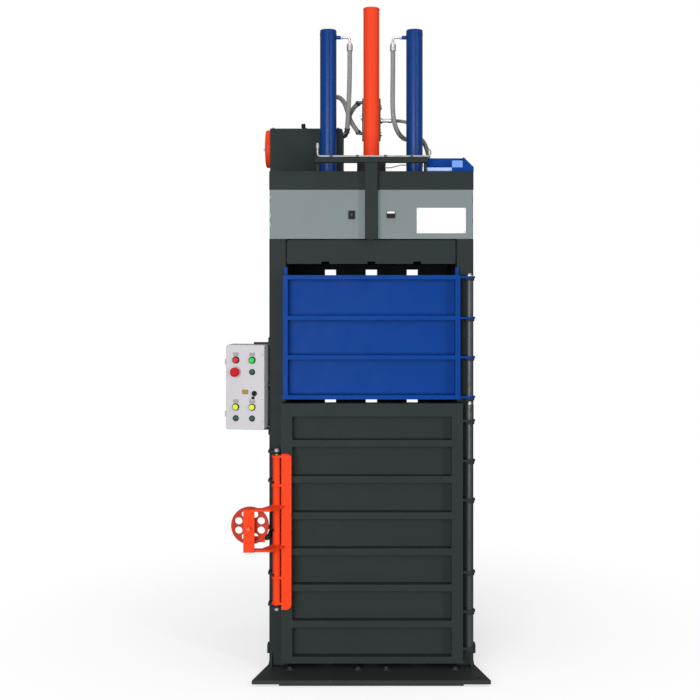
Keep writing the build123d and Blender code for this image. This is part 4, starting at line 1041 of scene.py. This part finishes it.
button_collar = [
    (0.0141, 0.0002),
    (0.0178, 0.0002),
    (0.0180, 0.0040),
    (0.0172, 0.0064),
    (0.0150, 0.0068),
    (0.0141, 0.0062),
    (0.0141, 0.0002),
]
button_spots = [(-0.047, 0.345), (0.036, 0.345), (-0.047, 0.112), (0.036, 0.112)]
collars("button_collars", button_collar, button_spots)
stop_collar = [(0.0090, 0.0002), (0.0180, 0.0002), (0.0182, 0.0030), (0.0170, 0.0046), (0.0090, 0.0046)]
collars("stop_collar", stop_collar, [(-0.047, 0.286)])
lamp_collar = [
    (0.0117, 0.0002),
    (0.0150, 0.0002),
    (0.0152, 0.0020),
    (0.0146, 0.0034),
    (0.0126, 0.0038),
    (0.0117, 0.0032),
    (0.0117, 0.0002),
]
collars("lamp_collars", lamp_collar, [(0.036, 0.286), (-0.047, 0.056), (0.036, 0.056)])
key_collar = [(0.0093, 0.0002), (0.0135, 0.0002), (0.0137, 0.0030), (0.0130, 0.0045), (0.0093, 0.0045)]
collars("selector_collar", key_collar, [(0.047, 0.180)])
small_cap = [(0.0074, 0.0002), (0.0074, 0.0080), (0.0062, 0.0092), (0.0, 0.0094)]
collars("small_cap", small_cap, [(0.041, 0.158)], 28)
plates(
    "legend_plates",
    [on_lid(u, w + 0.029, 0.0002) for u, w in button_spots],
    box_right,
    box_up,
    (0.028, 0.017),
    0.0022,
    0.002,
    plastic("legend_grey", (0.30, 0.29, 0.28), 0.45, 0.1, 0.2),
    "box_lid",
)
plates(
    "yellow_plate",
    [on_lid(0.0, 0.187, 0.0001)],
    box_right,
    box_up,
    (0.032, 0.024),
    0.0010,
    0.002,
    plastic("plate_yellow", (0.26, 0.21, 0.045), 0.45, 0.1, 0.2),
    "box_lid",
)
lid_lock = [
    (0.0062, 0.0),
    (0.0062, 0.0012),
    (0.0054, 0.0020),
    (0.0022, 0.0020),
    (0.0019, 0.0008),
    (0.0, 0.0008),
]
lock_places = [on_lid(0.087, w) for w in (0.045, 0.374)]
lathed("lid_locks", lid_lock, lock_places, box_out, box_grey, "box_lid", 24)
nut = [
    (0.0125, -0.0005),
    (0.0170, -0.0005),
    (0.0176, 0.0010),
    (0.0176, 0.0050),
    (0.0170, 0.0060),
    (0.0125, 0.0060),
]
nipple = [(0.0125, -0.001), (0.0125, 0.009)]
lathed("conduit_nipple", nipple, [(-0.5196, -0.340, 1.42)], (1, 0, 0), black_zinc, "press_bodywork")
lathed("conduit_nut", nut, [(-0.5175, -0.340, 1.42)], (1, 0, 0), black_zinc, "press_bodywork", 6, False)


def lens(name, colour, glow, strength):
    """A moulded lens or lit button: the plastic skin with a faint light of its own."""
    material = plastic(name, colour, 0.35, 0.05, 0.1)
    shader = material.node_tree.nodes["Principled BSDF"]
    shader.inputs["Emission Color"].default_value = (*glow, 1)
    shader.inputs["Emission Strength"].default_value = strength
    shader.inputs["Coat Weight"].default_value = 0.06
    return material


finish(lens("red_button", (0.43, 0.010, 0.022), (1.0, 0.03, 0.06), 0.08), "stop_button")
finish(plastic("stop_red", (0.50, 0.004, 0.010), 0.4, 0.1, 0.08), "emergency_stop")
finish(lens("green_button", (0.020, 0.42, 0.05), (0.03, 1.0, 0.10), 0.10), "start_button")
finish(lens("yellow_button", (0.56, 0.61, 0.03), (0.9, 1.0, 0.1), 0.08), "lift_button", "press_button")
finish(lens("lamp_lens", (0.008, 0.085, 0.058), (0.0, 0.1, 0.06), 0.05), "indicator_lamps")


# Power unit
# A charcoal housing with a screwed lid and a breather. The pump's motor stands out at the left end under an
# orange cowl with a plated shaft end. A sight glass and a drain plug are at the back.
hexagon_heads(
    "unit_lid_screws",
    [(x, y, 2.763) for x in (-0.528, -0.354, -0.180) for y in (0.074, 0.336)],
    (0, 0, 1),
    0.010,
    0.006,
    black_zinc,
    "press_bodywork",
)
motor_y, motor_z = 0.205, 2.668
shaft_end = [
    (0.0165, -0.001),
    (0.0165, 0.002),
    (0.0075, 0.003),
    (0.0075, 0.012),
    (0.0065, 0.013),
    (0.0, 0.013),
]
lathed("motor_shaft_end", shaft_end, [(-0.581, motor_y, motor_z)], (-1, 0, 0), zinc, "press_bodywork")
band = [(0.1028, 0.0), (0.1040, 0.0005), (0.1040, 0.0055), (0.1028, 0.006)]
lathed("motor_band", band, [(-0.553, motor_y, motor_z)], (-1, 0, 0), guide_orange, "press_bodywork", 72)
vent = [
    (0.0158, 0.0),
    (0.0150, 0.0004),
    (0.0105, 0.0004),
    (0.0100, 0.0012),
    (0.0060, 0.0012),
    (0.0055, 0.0004),
    (0.0, 0.0004),
]
vent_places = [(-0.5735, motor_y + dy, motor_z + dz) for dy, dz in bolt_circle(0.052, 4, pi / 4)]
lathed("motor_vents", vent, vent_places, (-1, 0, 0), black_plastic, "press_bodywork", 28)
sight = [(0.0, 0.004), (0.011, 0.004), (0.013, 0.0055), (0.016, 0.0055), (0.0175, 0.004), (0.0175, -0.0005)]
lathed("sight_glass", sight[::-1], [(-0.330, 0.350, 2.580)], (0, 1, 0), zinc, "press_bodywork")
hexagon_heads("drain_plug", [(-0.215, 0.350, 2.520)], (0, 1, 0), 0.022, 0.011, black_zinc, "press_bodywork")
breather_rings = [
    (0.0112, 0.0),
    (0.0119, 0.001),
    (0.0119, 0.005),
    (0.0112, 0.006),
    (0.0112, 0.009),
    (0.0119, 0.010),
    (0.0119, 0.017),
    (0.0088, 0.0212),
    (0.0, 0.0214),
]
breather_foot = (-0.371, 0.150, 2.7785)
lathed("breather_cap", breather_rings, [breather_foot], (0, 0, 1), black_plastic, "press_bodywork", 36)


# Manifold and valve
# The black manifold block stands behind the guide tube with its plugs and a plated outlet pipe. A blue valve
# stands in the folded tray at the right. A pale strip on the left of the tray's lip is a painted highlight.
finish(black_zinc, "manifold_block", "hose_ends")
block_y = 0.087
for name, side, heights in (("plugs_right", 1, (2.735, 2.880)), ("plug_left", -1, (2.825,))):
    hexagon_heads(
        "manifold_" + name,
        [(side * 0.0500, block_y, z) for z in heights],
        (side, 0, 0),
        0.019,
        0.008,
        zinc,
        "press_bodywork",
    )
outlet = [
    (0.0086, 0.0),
    (0.0150, 0.0),
    (0.0150, 0.010),
    (0.0098, 0.012),
    (0.0098, 0.040),
    (0.0120, 0.042),
    (0.0120, 0.056),
    (0.0100, 0.058),
    (0.0100, 0.0672),
]
lathed("outlet_pipe", outlet, [(0.0502, block_y, 2.808)], (1, 0, 0), zinc, "press_bodywork", 24)
coil = [
    (0.0, 0.062),
    (0.010, 0.062),
    (0.010, 0.054),
    (0.0205, 0.052),
    (0.0215, 0.050),
    (0.0215, 0.006),
    (0.0170, 0.004),
    (0.0170, 0.0),
]
coil_places = [(0, 0.120, z) for z in (2.760, 2.850)]
lathed("solenoids", coil[::-1], coil_places, (0, 1, 0), black_plastic, "press_bodywork")
valve_blue = paint("valve_blue", (0.14, 0.30, 0.72), (0.4, 0.5, 0.8), 0.4, 0.08, 0.4, 0.1, 0.3)
finish(valve_blue, "valve_block")
# Painted highlight: a pale copy of the blue, laid as a thin strip where the lip's front face catches the
# light
lip_highlight_paint = paint("lip_highlight_paint", (0.34, 0.48, 0.86), (0.5, 0.6, 0.9), 0.3, 0.05, 0.35, 0.05, 0.3)
plates(
    "tray_lip_highlight",
    [(0.3405, -0.3401, 2.5048)],
    (1, 0, 0),
    (0, 0, 1),
    (0.126, 0.018),
    0.0012,
    0.003,
    lip_highlight_paint,
    "press_bodywork",
)


# Hose fittings
# Plated elbows lead from the rams' ports into ferrules that are crimped in four bands, and the hoses' other
# ends have dark ones.
finish(pale_zinc, "port_fittings")
crimp = [(0.0150, 0.0)]
for i in range(4):
    low = 0.0015 + 0.0075 * i
    crimp += [(0.0162, low), (0.0162, low + 0.0045), (0.0153, low + 0.0060), (0.0153, low + 0.0066)]
crimp += [(0.0150, 0.0325)]
port_places = [(x, 0, 3.1685) for x in (-0.115, 0.115)]
lathed("upper_crimps", crimp, port_places, (0, 0, 1), pale_zinc, "press_bodywork", 32)
